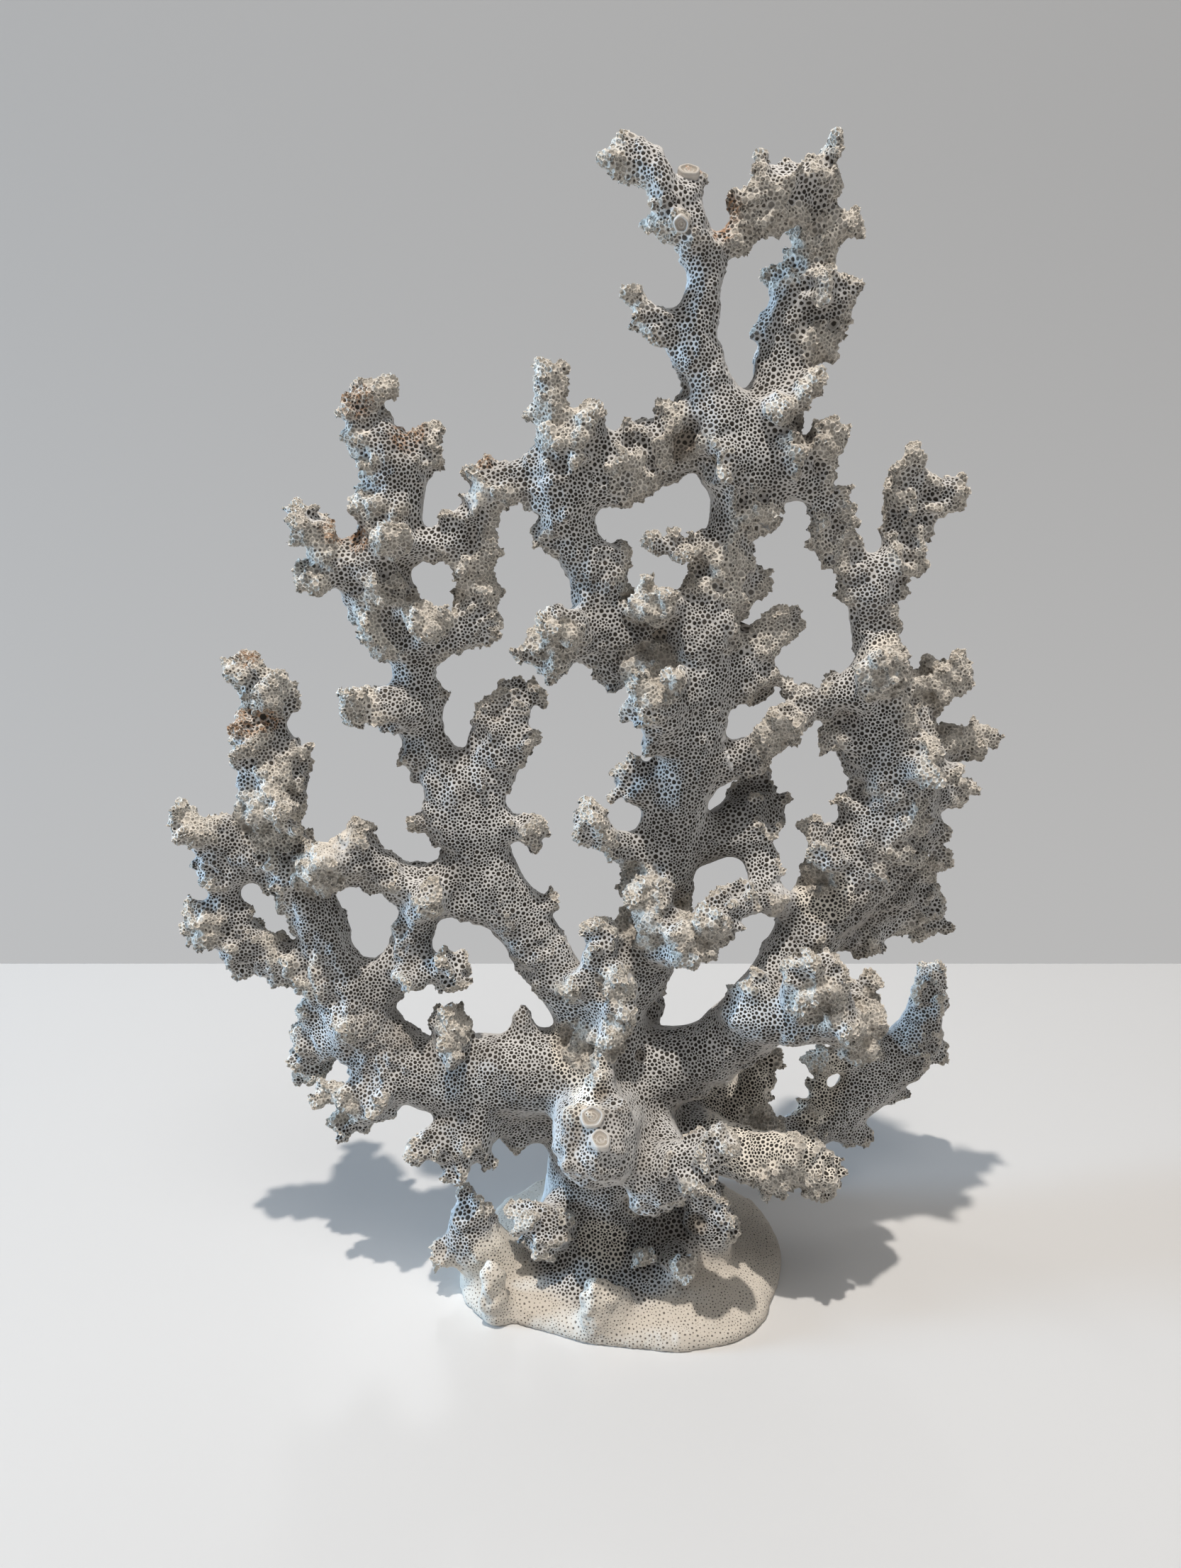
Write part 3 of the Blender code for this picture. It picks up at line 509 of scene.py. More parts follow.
def pit_mouth(tree, fields, rim):
    """How much of the pit's dark tone shows: all of it in the mouth, less where it is shut or worn."""
    shut = ramp(tree, arithmetic(tree, "SUBTRACT", fields["crust"], fields["chance"]), -0.3, 0.3)
    open_share = scaled_sum(tree, product(tree, shut, fields["crust"]), -0.7, 1.0)
    pale = scaled_sum(tree, fields["plain"], -0.3, 1.0)
    inside = ramp(tree, rim, MOUTH[0], MOUTH[1], (1.0, 0.0))
    return product(tree, product(tree, inside, open_share), pale)


# %% Tint the skin between the pits
def dust_and_shade_share(tree, fields):
    """Painted shade, mixed with dust, under the limbs and in the hollows, and in the crust's valleys and
    creases.
    """
    valley = product(tree, ramp(tree, fields["fold"], -1.2, 0.3, (1.0, 0.0)), fields["crust"])
    crease = product(tree, ramp(tree, fields["off crease"], 0.0, 0.07, (1.0, 0.0)), fields["crust"])
    hollow = product(tree, fields["hollow"], DUST_AND_SHADE["hollow"])
    under_and_hollow = scaled_sum(tree, fields["under"], DUST_AND_SHADE["under"], hollow)
    with_valleys = scaled_sum(tree, valley, DUST_AND_SHADE["valley"], under_and_hollow)
    return scaled_sum(tree, crease, DUST_AND_SHADE["crease"], with_valleys)


def skin_colour(tree, fields):
    """Grey in two tones, cream in the crust and painted light on a few lit knobs, beige on the foot, then
    painted shade mixed with dust, and rust over it.
    """
    smooth_tone = blend(tree, ramp(tree, fields["patch"], 0.35, 0.65), SMOOTH_DULL, SMOOTH_LIGHT)
    cream_and_light_tone = blend(tree, ramp(tree, fields["cream_and_light"], 0.1, 0.8), smooth_tone, CREAM)
    worn = product(tree, ramp(tree, fields["height"], 16.0, 28.0, FOOT_WEAR), fields["plain"])
    dusted_and_shaded = blend(tree, dust_and_shade_share(tree, fields), blend(tree, worn, cream_and_light_tone, FOOT_TONE), GRIME_AND_SHADE)
    stains = product(tree, fields["rust"], ramp(tree, fields["lump"], 0.4, 0.6))
    return blend(tree, product(tree, stains, RUST_SHARE), dusted_and_shaded, RUST)


# %% Make the coral's material
def bump(tree, height, strength, depth, below=None):
    """A bump of that depth in mm, on top of the bump below."""
    feeds = {"Strength": strength, "Distance": depth * MM, "Height": height}
    if below is not None:
        feeds["Normal"] = below
    return node(tree, "ShaderNodeBump", feeds)


def coral_finish():
    material = bpy.data.materials.new("pitted coral")
    material.use_nodes = True
    tree = material.node_tree
    shader = tree.nodes["Principled BSDF"]
    fields = finish_fields(tree)
    rim = uneven_rim(tree, fields)
    pit_tone = blend(tree, product(tree, fields["crust"], 0.55), PIT_SHADE, GRIME_AND_SHADE)
    pitted = blend(tree, pit_mouth(tree, fields, rim), skin_colour(tree, fields), pit_tone)
    tree.links.new(pitted, shader.inputs["Base Color"])
    shader.inputs["Roughness"].default_value = 0.9
    shader.inputs["Specular IOR Level"].default_value = 0.25
    grain = bump(tree, fields["speck"], strength=0.6, depth=0.14)
    clods = sum_of(tree, fields["lump"], fields["off crease"])
    lumps = bump(tree, clods, strength=fields["crust"], depth=0.7, below=grain)
    wells = bump(tree, ramp(tree, rim, 0.62, 0.98), strength=0.8, depth=0.3, below=lumps)
    tree.links.new(wells.outputs["Normal"], shader.inputs["Normal"])
    return material


coral = coral_finish()
print("finish:", len(coral.node_tree.nodes), "shader nodes")

# %% [markdown]
# ## Grow the crust's crumbs
#
# The crust is built up in three sizes. The limbs swell and narrow over a few centimetres. Plates with
# abrupt edges, up to about 4 mm high, make its ledges. On top lies a crowd of crumbs, rough balls a
# millimetre to a few across, scattered with a least distance between them and more of them in the thick of
# the crust. A remesh fuses it all into one surface, with small overhangs that displacement can't give.

# %% Build the ledges
CRUMB_SPACING = 2.2  # least distance between two crumbs, mm
CRUMB_SIZES = (0.8, 2.4)  # least and greatest radius, mm
CRUMB_SQUEEZE = ((0.3, 0.3, 0.3), (1.3, 1.3, 1.3))  # least and greatest stretch of a crumb
CRUMB_DENSITY = 0.6  # most crumbs on a square millimetre, before their spacing thins them
CRUMB_SEED = 5
FULL_TURN = (6.28, 6.28, 6.28)
LEDGE = 1.9  # half the height of the coarse ledges, mm
FINE_LEDGE = 0.6  # the fine ledges' height as a share of the coarse ones'
SKIN_GRAIN = 0.8  # side of the remesh's cells, mm


def plates(tree, place, scale, soft):
    """A field of plates with abrupt edges: -1 where a noise is low, 1 where it is high."""
    return ramp(tree, noise_field(tree, place, scale, 2.0, 0.6), 0.5 - soft, 0.5 + soft, (-1.0, 1.0))


def ledged_skin(tree, given, crust_here):
    """The skin with its swelling, and with ledges where the crust is."""
    place = node(tree, "GeometryNodeInputPosition")
    swelling = scaled_sum(tree, noise_field(tree, place, 0.075, 1.0), 3.4, -1.9)
    fine = product(tree, plates(tree, place, 0.4, 0.05), FINE_LEDGE)
    both = sum_of(tree, plates(tree, place, 0.15, 0.035), fine)
    share = arithmetic(tree, "POWER", crust_here, 0.5)
    ledges = product(tree, product(tree, both, given["Ledge"]), share)
    height = sum_of(tree, ledges, product(tree, swelling, attribute(tree, "free")))
    rise = scaled_vector(tree, node(tree, "GeometryNodeInputNormal"), height)
    return node(tree, "GeometryNodeSetPosition", {"Geometry": given["Geometry"], "Offset": rise})


# %% Scatter the crumbs
def scattered_crumbs(tree, given, ledged, crust_here):
    """A rough ball on each of the scattered points, squeezed and turned at random."""
    spots = node(
        tree,
        "GeometryNodeDistributePointsOnFaces",
        {"Mesh": ledged, "Distance Min": given["Spacing"], "Density Max": CRUMB_DENSITY,
         "Density Factor": crust_here, "Seed": given["Seed"]},
        distribute_method="POISSON",
    )
    ball = node(tree, "GeometryNodeMeshIcoSphere", {"Radius": 1.0, "Subdivisions": 1})
    size = random_value(tree, given["Smallest"], given["Largest"], given["Seed"])
    shape = random_value(tree, *CRUMB_SQUEEZE, sum_of(tree, given["Seed"], 1), "FLOAT_VECTOR")
    turn = random_value(tree, (0, 0, 0), FULL_TURN, sum_of(tree, given["Seed"], 2), "FLOAT_VECTOR")
    return node(
        tree,
        "GeometryNodeInstanceOnPoints",
        {"Points": spots.outputs["Points"], "Instance": ball.outputs["Mesh"], "Rotation": turn,
         "Scale": scaled_vector(tree, shape, size)},
    )


def crumb_tree():
    tree, given, result = geometry_tree(
        "crust crumbs",
        {"Spacing": "Float", "Smallest": "Float", "Largest": "Float", "Ledge": "Float", "Seed": "Int"},
    )
    crust_here = attribute(tree, "crust")
    ledged = ledged_skin(tree, given, crust_here)
    crumbs = scattered_crumbs(tree, given, ledged, crust_here)
    joined = node(tree, "GeometryNodeJoinGeometry")
    tree.links.new(ledged.outputs[0], joined.inputs[0])
    tree.links.new(crumbs.outputs[0], joined.inputs[0])
    dress(tree, joined, coral, result)
    return tree


# %% [markdown]
# ## Press the dark hollows
#
# Here and there the coral has a deep dark hollow where a branch has broken out or two limbs have met. Each
# one is pressed in along the line of sight, so it can be named by its place in the picture, and its rim is
# soft, as a worn edge is. A Boolean would leave a sharp rim.

# %% Press the dark hollows
DENTS = (  # the picture's x and y, then radius and depth in mm
    (810, 1602, 5.0, 1.6), (850, 1545, 3.0, 3.0), (966, 622, 4.5, 5.0), (950, 640, 3.0, 4.0),
    (984, 1726, 4.0, 5.0), (930, 896, 3.0, 3.5), (700, 1010, 2.0, 2.5), (902, 1490, 2.5, 3.0),
    (1012, 650, 2.5, 2.5),
)


def sight(x, y):
    """The direction in which the camera sees a point of the picture."""
    across = (x - PICTURE_WIDTH / 2) / PIXELS_PER_LENS
    down = (y - PICTURE_HEIGHT / 2) / PIXELS_PER_LENS
    lean = math.radians(PITCH)
    return Vector((across, math.cos(lean) - down * math.sin(lean), -math.sin(lean) - down * math.cos(lean)))


def press_dents(thing):
    """Presses the dark hollows into the skin, each where the camera sees it, and returns their middles."""
    points = points_of(thing.data)
    work = bmesh.new()
    work.from_mesh(thing.data)
    tree = BVHTree.FromBMesh(work)
    work.free()
    middles = []
    for x, y, radius, depth in DENTS:
        way = sight(x, y).normalized()
        spot, _, _, _ = tree.ray_cast(EYE / MM, way)
        if spot is None:
            print("no skin behind", x, y)
            continue
        share = 1 - eased(np.linalg.norm(points - np.array(spot), axis=1) / radius, 0.3, 1.2)
        points += np.array(way) * depth * share[:, None]
        middles.append((spot + way * depth * 0.5, radius, min(1, depth / radius)))
    move_points(thing.data, points)
    return middles


hollows = press_dents(skin)
print("hollows pressed:", len(hollows))

# %% Grow and fuse the crust
add_tree(
    skin,
    crumb_tree(),
    {"Spacing": CRUMB_SPACING, "Smallest": CRUMB_SIZES[0], "Largest": CRUMB_SIZES[1], "Ledge": LEDGE,
     "Seed": CRUMB_SEED},
)
voxel_remesh(skin, "grow", SKIN_GRAIN)
soften(skin, "settle", 0.35, 1)
crusted = helper_object(evaluated(skin), "crusted skin")
print("crusted skin:", len(crusted.data.vertices), "points", clock())

# %% [markdown]
# ## Lay a net of cells over the skin
#
# Each polyp sat in its own cell, and the cells pack like bubbles: mostly six neighbours, never in rows. A
# remesh alone gives rows, so its points are shaken and then calmed: each point moves towards the middle of
# its neighbours, long edges flip to shorter ones, and every point is put back on the crusted skin. The
# grid is turned first, because points are sparse where the skin lies along it.

# %% Remesh on a turned grid
CELL_GRAIN = 1.42  # side of the remesh's cells, mm
GRID_TURN = Matrix.Rotation(math.radians(45), 3, "X") @ Matrix.Rotation(math.radians(20), 3, "Z")


def turned_grid_mesh():
    """The crusted skin as triangles on a voxel grid that is turned by GRID_TURN."""
    turn = np.array(GRID_TURN)
    mesh = crusted.data.copy()
    move_points(mesh, points_of(mesh) @ turn.T)
    thing = helper_object(mesh, "net")
    voxel_remesh(thing, "grid", CELL_GRAIN)
    thing.modifiers.new("cut", "TRIANGULATE")
    net_mesh = evaluated(thing)
    move_points(net_mesh, points_of(net_mesh) @ turn)
    thing.data = net_mesh
    return thing


net = turned_grid_mesh()
print("net:", len(net.data.vertices), "cells", clock())

# %% Shake and calm the net
SHAKE = 0.48  # usual travel of a shaken point along each axis, mm
CALM_ROUNDS = 6
CALM_PASSES = 3


def flip_long_edges(mesh):
    """Turns edges so that the triangles come nearer to equal sides."""
    work = bmesh.new()
    work.from_mesh(mesh)
    bmesh.ops.beautify_fill(work, faces=work.faces, edges=work.edges, method="ANGLE")
    work.to_mesh(mesh)
    work.free()


def calm(net, passes):
    """Slides each point towards the middle of its neighbours, then puts it back on the crusted skin."""
    edges, points, normals = edges_of(net.data), points_of(net.data), normals_of(net.data)
    for _ in range(passes):
        slide = melted(points.copy(), edges, 1) - points
        slide -= normals * (slide * normals).sum(1)[:, None]
        points += slide
    move_points(net.data, points)
    lay = net.modifiers.new("lay", "SHRINKWRAP")
    lay.target = crusted
    net.data = evaluated(net)


move_points(net.data, points_of(net.data) + dice.normal(0, SHAKE, (len(net.data.vertices), 3)))
for _ in range(CALM_ROUNDS):
    flip_long_edges(net.data)
    calm(net, CALM_PASSES)
flip_long_edges(net.data)
ends = points_of(net.data)[edges_of(net.data)]
lengths = np.linalg.norm(ends[:, 0] - ends[:, 1], axis=1)
print("cell spacing in mm:", np.percentile(lengths, [1, 10, 50, 90, 99]).round(2), clock())

# %% [markdown]
# ## Say what each cell is
#
# Each cell gets a few numbers that the next steps read: how crusted, plain and rusty it is, how much cream
# and painted light it shows, how much painted shade with dust it gets under the limbs and in the hollows,
# which limb it belongs to, and whether it lies on the foot's flat cut, which has no pits. Its limb is the
# nearest in the frame, and a vote among neighbours takes the strays out. Numbers need no image, and they
# stay in place when the piece is exported.

# %% Name the places of each tone
# Several of the cream places lie on knobs lit strongly from above, and there the paler tone is painted
# light on top of the crust's real cream.
CREAM_AND_LIT_PLACES = (
    (43, 62, 16), (-16, 88, 9), (70, 50, 14), (-8, 20, 8), (-44, 17, 8), (78, 213, 9), (62, 140, 9),
    (99, 205, 8),
)
BROWN_PLACES = (
    (84, 137, 13), (33, 180, 12), (66, 96, 6), (-31, 211, 7), (95, 92, 10), (-17, 267, 5), (-4, 213, 6),
    (50, 276, 9), (12, 276, 6), (-8, 57, 9), (-72, 93, 6), (30, 262, 5), (10, 335, 4), (-45, 250, 4),
)
PLAIN_PLACES = (
    (-8, 23, 6), (-44, 19, 7), (44, 76, 4), (-92, 156, 5), (47, 136, 4), (50, 143, 4), (-45, 262, 4),
    (8, 352, 2),
)
RUST_PLACES = (
    (-120, 193, 5), (-113, 194, 4), (-118, 214, 4), (-79, 288, 5), (-65, 279, 5), (-87, 252, 4),
    (-80, 249, 4), (15, 349, 4), (25, 337, 4), (-43, 272, 3), (24, 331, 3),
)
WORM_TUBES = (  # the picture's x and y, then the radius in mm
    (836, 1576, 2.9), (847, 1609, 2.6), (972, 242, 2.4), (961, 318, 1.8),
)

# %% Find each cell's limb
LIMB_NAMES = sorted(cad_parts)
VOTE_PASSES = 4
OWN_VOTE = 1.5  # a point's own vote, where each neighbour has one


def nearest_limbs(points):
    """For each point, the index of the limb whose skin is nearest."""
    corners, faces, owners = [], [], []
    for index, name in enumerate(LIMB_NAMES):
        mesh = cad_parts[name].data
        first = len(corners)
        corners.extend(vertex.co / MM for vertex in mesh.vertices)
        faces.extend([first + corner for corner in face.vertices] for face in mesh.polygons)
        owners.extend([index] * len(mesh.polygons))
    tree = BVHTree.FromPolygons(corners, faces)
    return np.array([owners[tree.find_nearest(point)[2]] for point in points])


def voted(labels, edges, passes):
    """The labels after each point has taken the one that most of its neighbours and itself have."""
    a, b = edges.T
    for _ in range(passes):
        votes = np.zeros((len(labels), len(LIMB_NAMES)))
        votes[np.arange(len(labels)), labels] = OWN_VOTE
        for index in range(len(LIMB_NAMES)):
            votes[:, index] += np.bincount(a, labels[b] == index, len(labels))
            votes[:, index] += np.bincount(b, labels[a] == index, len(labels))
        labels = votes.argmax(1)
    return labels


# %% Flatten the cut and measure the net
CUT_REACH = 1.2  # points below this height that face down lie on the cut, mm

points, edges = points_of(net.data), edges_of(net.data)
underside = (points[:, 2] < CUT_REACH) & (normals_of(net.data)[:, 2] < -0.5)
points[underside, 2] = 0
points[:, 2] = np.maximum(points[:, 2], 0)
move_points(net.data, points)
normals = normals_of(net.data)
stands_out = ((points - melted(points.copy(), edges, MELT_PASSES // 2)) * normals).sum(1)
crust = crust_at(points, stands_out)
print("points on the cut:", int(underside.sum()), "cells in the crust:", (crust > 0.5).mean().round(2))

# %% Find the shade of the hollows and the worm tubes
TUBE_LIFT = 0.3  # how far a tube's middle stands off the skin, mm


def hollow_shade(points):
    """How deep in a pressed hollow each point lies."""
    dark = np.zeros(len(points))
    for middle, radius, strength in hollows:
        away = np.linalg.norm(points - np.array(middle), axis=1) / radius
        dark = np.maximum(dark, strength * (1 - eased(away, 0.6, 1.3)))
    return dark


def find_worm_tubes(points, normals):
    """Each tube's middle, direction and radius, and how near to a tube each point is."""
    spots, nearness = [], np.zeros(len(points))
    for x, y, radius in WORM_TUBES:
        _, spot, _, _ = net.ray_cast(EYE / MM, sight(x, y).normalized())
        away = np.linalg.norm(points - np.array(spot), axis=1) / radius
        below = away < 1.2
        way = Vector(normals[below].mean(0)).normalized()
        spots.append((Vector(points[below].mean(0)) + way * TUBE_LIFT, way, radius))
        nearness = np.maximum(nearness, 1 - eased(away, 1.1, 1.7))
    return spots, nearness


dark = hollow_shade(points)
worm_spots, near_tube = find_worm_tubes(points, normals)
print("cells in the hollows:", int((dark > 0.5).sum()), "under the tubes:", int((near_tube > 0.5).sum()))

# %% Number the cells
BARE_BELOW = 0.6  # cells below this height have no pit, mm

x, y, z = points.T
stub_face = eased(-y, 30, 38) * eased(z, 26, 32) * (1 - eased(x, 4, 12))
# Painted shade: cells that face down, above the foot, count as under the limbs and are darkened.
under = eased(-normals[:, 2], -0.1, 0.7) * eased(z, 25, 40)
foot_top = (1 - eased(z, 12, 22)) * eased(np.hypot(x + 5, y + 5), 24, 32)
off_trunk = np.maximum(eased(np.hypot(x + 5, y), 20, 28), eased(z, 40, 60))
plain_spots = 0.6 * near_places(points, PLAIN_PLACES) * off_trunk
brown = near_places(points, BROWN_PLACES) * (0.6 + 0.8 * wander(points, 5, 3))
dusty_stub = stub_face * (0.55 + 0.7 * wander(points, 6, 4))
numbers = {
    "crust": crust,
    # Painted shade in the hollows: darker in concave places, and most in the pressed hollows.
    "hollow": np.maximum(0.6 * eased(-stands_out, -0.3, 2.0), 1.6 * dark),
    "plain": np.maximum.reduce([0.75 * foot_top, plain_spots, 0.7 * near_tube, 0.12 * stub_face]),
    "under": np.maximum.reduce([under, np.clip(1.1 * brown, 0, 1.2), np.clip(dusty_stub, 0, 1)]),
    # The cream tone: real on the foot and the crust, and painted light on the listed knobs.
    "cream_and_light": np.maximum.reduce([0.55 * foot_top, crust, near_places(points, CREAM_AND_LIT_PLACES)]),
    "rust": near_places(points, RUST_PLACES),
    "bare": (z < BARE_BELOW).astype(float),
    "limb": voted(nearest_limbs(points), edges, VOTE_PASSES),
}
for name, values in numbers.items():
    set_number(net.data, name, values)
    print(name, "from", round(float(values.min()), 2), "to", round(float(values.max()), 2))
print(clock())

# %% [markdown]
# ## Sink the pits
#
# The net's triangles turn into cells with one node, Dual Mesh: each point becomes a face with about six
# sides. The cells are laid on the crusted skin and roughened where the crust is. Then each is extruded
# inwards by itself and its floor is merged to a point, which leaves a pit with six walls: only six
# triangles for each, so that over a hundred thousand fit. In the crust the depth varies at random. A small
# chart of each cell is stored too: its length is 0 in the pit's middle and 1 on the rim, and the material
# draws the round mouth from it, finer than six flat walls could.

# %% Lay and roughen the cells
PIT_DEPTH = 0.85  # mm
ROUGH = 0.8  # height of the crust's roughness, mm
FINE_ROUGH = 0.3  # the fine ridges' height as a share of the coarse ones'
PIT_SEED = 3
MERGE_REACH = 0.002  # mm
CHART_Y = math.sin(math.radians(60))


def ridges(tree, place, scale, detail):
    """A field with sharp crests, from about -1 in the hollows to 1 on the crests."""
    return scaled_sum(tree, off_middle(tree, noise_field(tree, place, scale, detail, 0.65)), -9.0, 1.0)


def rough_cells(tree, given, off_cut):
    """The cells, laid on the crusted skin with ridges where the crust is, and none on the cut."""
    cells = node(tree, "GeometryNodeDualMesh", {"Mesh": given["Geometry"]})
    skin_mesh = node(tree, "GeometryNodeObjectInfo", {"Object": given["Skin"]})
    ground = node(tree, "GeometryNodeProximity", {"Geometry": skin_mesh.outputs["Geometry"]})
    settle = {"Geometry": cells, "Selection": off_cut, "Position": ground}
    laid = node(tree, "GeometryNodeSetPosition", settle)
    place = node(tree, "GeometryNodeInputPosition")
    coarse = ridges(tree, place, 0.33, 2.0)
    low = sum_of(tree, scaled_sum(tree, ridges(tree, place, 0.9, 1.0), FINE_ROUGH, coarse), -0.6)
    share = sum_of(tree, product(tree, attribute(tree, "crust"), 0.9), 0.1)
    height = product(tree, product(tree, low, given["Rough"]), share)
    rise = scaled_vector(tree, node(tree, "GeometryNodeInputNormal"), height)
    folded = stored(tree, laid, "fold", low, "POINT")
    return node(tree, "GeometryNodeSetPosition", {"Geometry": folded, "Selection": off_cut, "Offset": rise})


# %% Extrude the pits
def sunk_pits(tree, given, cells, off_cut):
    """Each cell sunk to a point in its middle. The number "pit" is 1 on that point and 0 on the rim."""
    told = stored(tree, cells, "chance", random_value(tree, 0.0, 1.0, given["Seed"]), "FACE")
    swing = scaled_sum(tree, attribute(tree, "chance"), -0.75, 0.55)
    even = scaled_sum(tree, attribute(tree, "plain"), 0.65, -0.9)
    depth = scaled_sum(tree, swing, attribute(tree, "crust"), even)
    sunk = node(
        tree,
        "GeometryNodeExtrudeMesh",
        {"Mesh": told, "Selection": off_cut, "Offset Scale": product(tree, depth, given["Depth"]),
         "Individual": True},
        mode="FACES",
    )
    floors = sunk.outputs["Top"]
    rims = stored(tree, sunk.outputs["Mesh"], "pit", 0.0, "POINT")
    marked = stored(tree, rims, "pit", 1.0, "POINT", chosen=floors)
    shrink = {"Geometry": marked, "Selection": floors, "Scale": 0.0}
    shrunk = node(tree, "GeometryNodeScaleElements", shrink)
    return node(
        tree,
        "GeometryNodeMergeByDistance",
        {"Geometry": shrunk, "Selection": less(tree, 0.5, attribute(tree, "pit")), "Distance": MERGE_REACH},
    )


# %% Chart the cells
def charted(tree, pits):
    """The pits with their charts: each wall is laid on the same triangle, with the pit at the origin."""
    pit = attribute(tree, "pit").outputs["Attribute"]
    next_corner = node(tree, "GeometryNodeOffsetCornerInFace", {"Offset": 1})
    next_pit = node(
        tree,
        "GeometryNodeFieldAtIndex",
        {"Value": pit, "Index": next_corner},
        data_type="FLOAT",
        domain="CORNER",
    )
    across = arithmetic(tree, "SUBTRACT", scaled_sum(tree, next_pit, -0.5, 1.0), pit)
    chart = node(tree, "ShaderNodeCombineXYZ", {"X": across, "Y": product(tree, next_pit, CHART_Y)})
    return stored(tree, pits, "cell", chart, "CORNER", kind="FLOAT2")


def pit_tree():
    inputs = {"Skin": "Object", "Depth": "Float", "Rough": "Float", "Seed": "Int"}
    tree, given, result = geometry_tree("pits", inputs)
    off_cut = less(tree, attribute(tree, "bare"), 0.4)
    cells = rough_cells(tree, given, off_cut)
    pits = charted(tree, sunk_pits(tree, given, cells, off_cut))
    soft = less(tree, attribute(tree, "crust"), 0.97)
    shaded = node(tree, "GeometryNodeSetShadeSmooth", {"Geometry": pits, "Shade Smooth": soft})
    dress(tree, shaded, coral, result)
    return tree


# %% Sink a pit into each cell
add_tree(net, pit_tree(), {"Skin": crusted, "Depth": PIT_DEPTH, "Rough": ROUGH, "Seed": PIT_SEED})
net.data = evaluated(net)
print("pitted skin:", len(net.data.polygons), "faces", clock())

# %% [markdown]
# ## Turn the worm tubes
#
# A few worm tubes have grown on the real coral, each a round rim with a coil in it. They are too fine for
# the net of cells, so each is turned from a small profile, as on a lathe, and sunk into its limb's skin. A
# Screw modifier turns a profile too, but it can't make the tube as uneven as a grown one.

# %% Shape a worm tube
TUBE_PROFILE = (  # distance from the middle as a share of the radius, and height above the skin in mm
    (1.2, -1.6), (1.18, 0.1), (1.1, 0.45), (0.98, 0.55), (0.88, 0.4), (0.8, 0.0), (0.52, -0.05),
    (0.42, 0.2), (0.3, -0.05), (0.12, -0.1),
)
TUBE_GROOVES = (4, 5, 7, 8)  # the strips of the profile that lie low and get the most painted shade
TUBE_SIDES = 28
TUBE_CREAM = 0.4
GROOVE_SHADE = 1.5
RIM_SHADE = 0.7


def tube_ring(work, spot, way, radius, height):
    """A ring of points round the tube's middle, a little uneven."""
    rest = way.to_track_quat("Z", "Y").to_matrix()
    ring = []
    for side in range(TUBE_SIDES):
        angle = math.tau * side / TUBE_SIDES
        arm = rest @ Vector((math.cos(angle), math.sin(angle), 0))
        ring.append(work.verts.new(spot + arm * radius(angle) + way * height))
    return ring


def add_worm_tube(work, spot, way, radius):
    """Adds a tube's round end: a closed shell sunk into the skin, with a rim and a coil inside it."""
    def uneven(angle):
        return 1 + 0.07 * math.sin(2 * angle + radius * 9) + 0.04 * math.sin(5 * angle)

    rounds = [
        tube_ring(work, spot, way, lambda angle, share=share: share * radius * uneven(angle), height)
        for share, height in TUBE_PROFILE
    ]
    made = [work.faces.new(rounds[0]), work.faces.new(rounds[-1])]
    for ring, following in zip(rounds, rounds[1:]):
        for side in range(TUBE_SIDES):
            other = (side + 1) % TUBE_SIDES
            made.append(work.faces.new((ring[side], ring[other], following[other], following[side])))
    bmesh.ops.recalc_face_normals(work, faces=made)
    chart = work.loops.layers.uv["cell"]
    numbers = work.faces.layers.float
    for index, face in enumerate(made):
        face.smooth = True
        face[numbers["cream_and_light"]] = TUBE_CREAM
        face[numbers["plain"]] = 1.0
        # Painted shade on the tube: deepest in the grooves, lighter on the rest.
        face[numbers["hollow"]] = GROOVE_SHADE if (index - 2) // TUBE_SIDES in TUBE_GROOVES else RIM_SHADE
        for corner in face.loops:
            corner[chart].uv = (1, 0)


# %% [markdown]
# ## Part the skin at the forks
#
# Each limb in the frame is replaced by its own piece of the pitted skin. A small tree keeps one limb's
# faces, and the open ring at each cut is closed with a fan of triangles round its middle. Both neighbours
# share the ring, so the pieces meet without a gap, and the closed ends are hidden inside. One piece for
# the whole coral would look the same, but then no limb could be used by itself.


# %% Close the cut rings
def parting_tree():
    tree, given, result = geometry_tree("one limb", {"Limb": "Float"})
    gap = arithmetic(tree, "SUBTRACT", attribute(tree, "limb"), given["Limb"])
    far = arithmetic(tree, "ABSOLUTE", gap)
    kept = node(
        tree,
        "GeometryNodeSeparateGeometry",
        {"Geometry": given["Geometry"], "Selection": less(tree, far, 0.5)},
        domain="FACE",
    )
    dress(tree, kept.outputs["Selection"], coral, result)
    return tree


def open_rings(work):
    """The mesh's open edges, sorted into rings."""
    rim = {edge for edge in work.edges if edge.is_boundary}
    rings = []
    while rim:
        ring, queue = set(), [rim.pop()]
        while queue:
            edge = queue.pop()
            ring.add(edge)
            for vertex in edge.verts:
                for other in vertex.link_edges:
                    if other in rim:
                        rim.discard(other)
                        queue.append(other)
        rings.append(ring)
    return rings


def close_ring(work, ring):
    """Closes a ring of open edges with a fan of triangles round its middle."""
    chart = work.loops.layers.uv["cell"]
    corners = {vertex for edge in ring for vertex in edge.verts}
    middle = work.verts.new(sum((vertex.co for vertex in corners), Vector()) / len(corners))
    for edge in ring:
        loop = edge.link_loops[0]
        face = work.faces.new((loop.link_loop_next.vert, loop.vert, middle))
        for corner in face.loops:
            corner[chart].uv = (1, 0)


def finish_limb(mesh, tubes):
    """Closes the mesh's rings, adds its tubes, scales it to metres and returns the number of rings."""
    work = bmesh.new()
    work.from_mesh(mesh)
    rings = open_rings(work)
    for ring in rings:
        close_ring(work, ring)
    for spot, way, radius in tubes:
        add_worm_tube(work, spot, way, radius)
    bmesh.ops.scale(work, vec=(MM, MM, MM), verts=work.verts)
    work.normal_update()
    work.to_mesh(mesh)
    work.free()
    return len(rings)


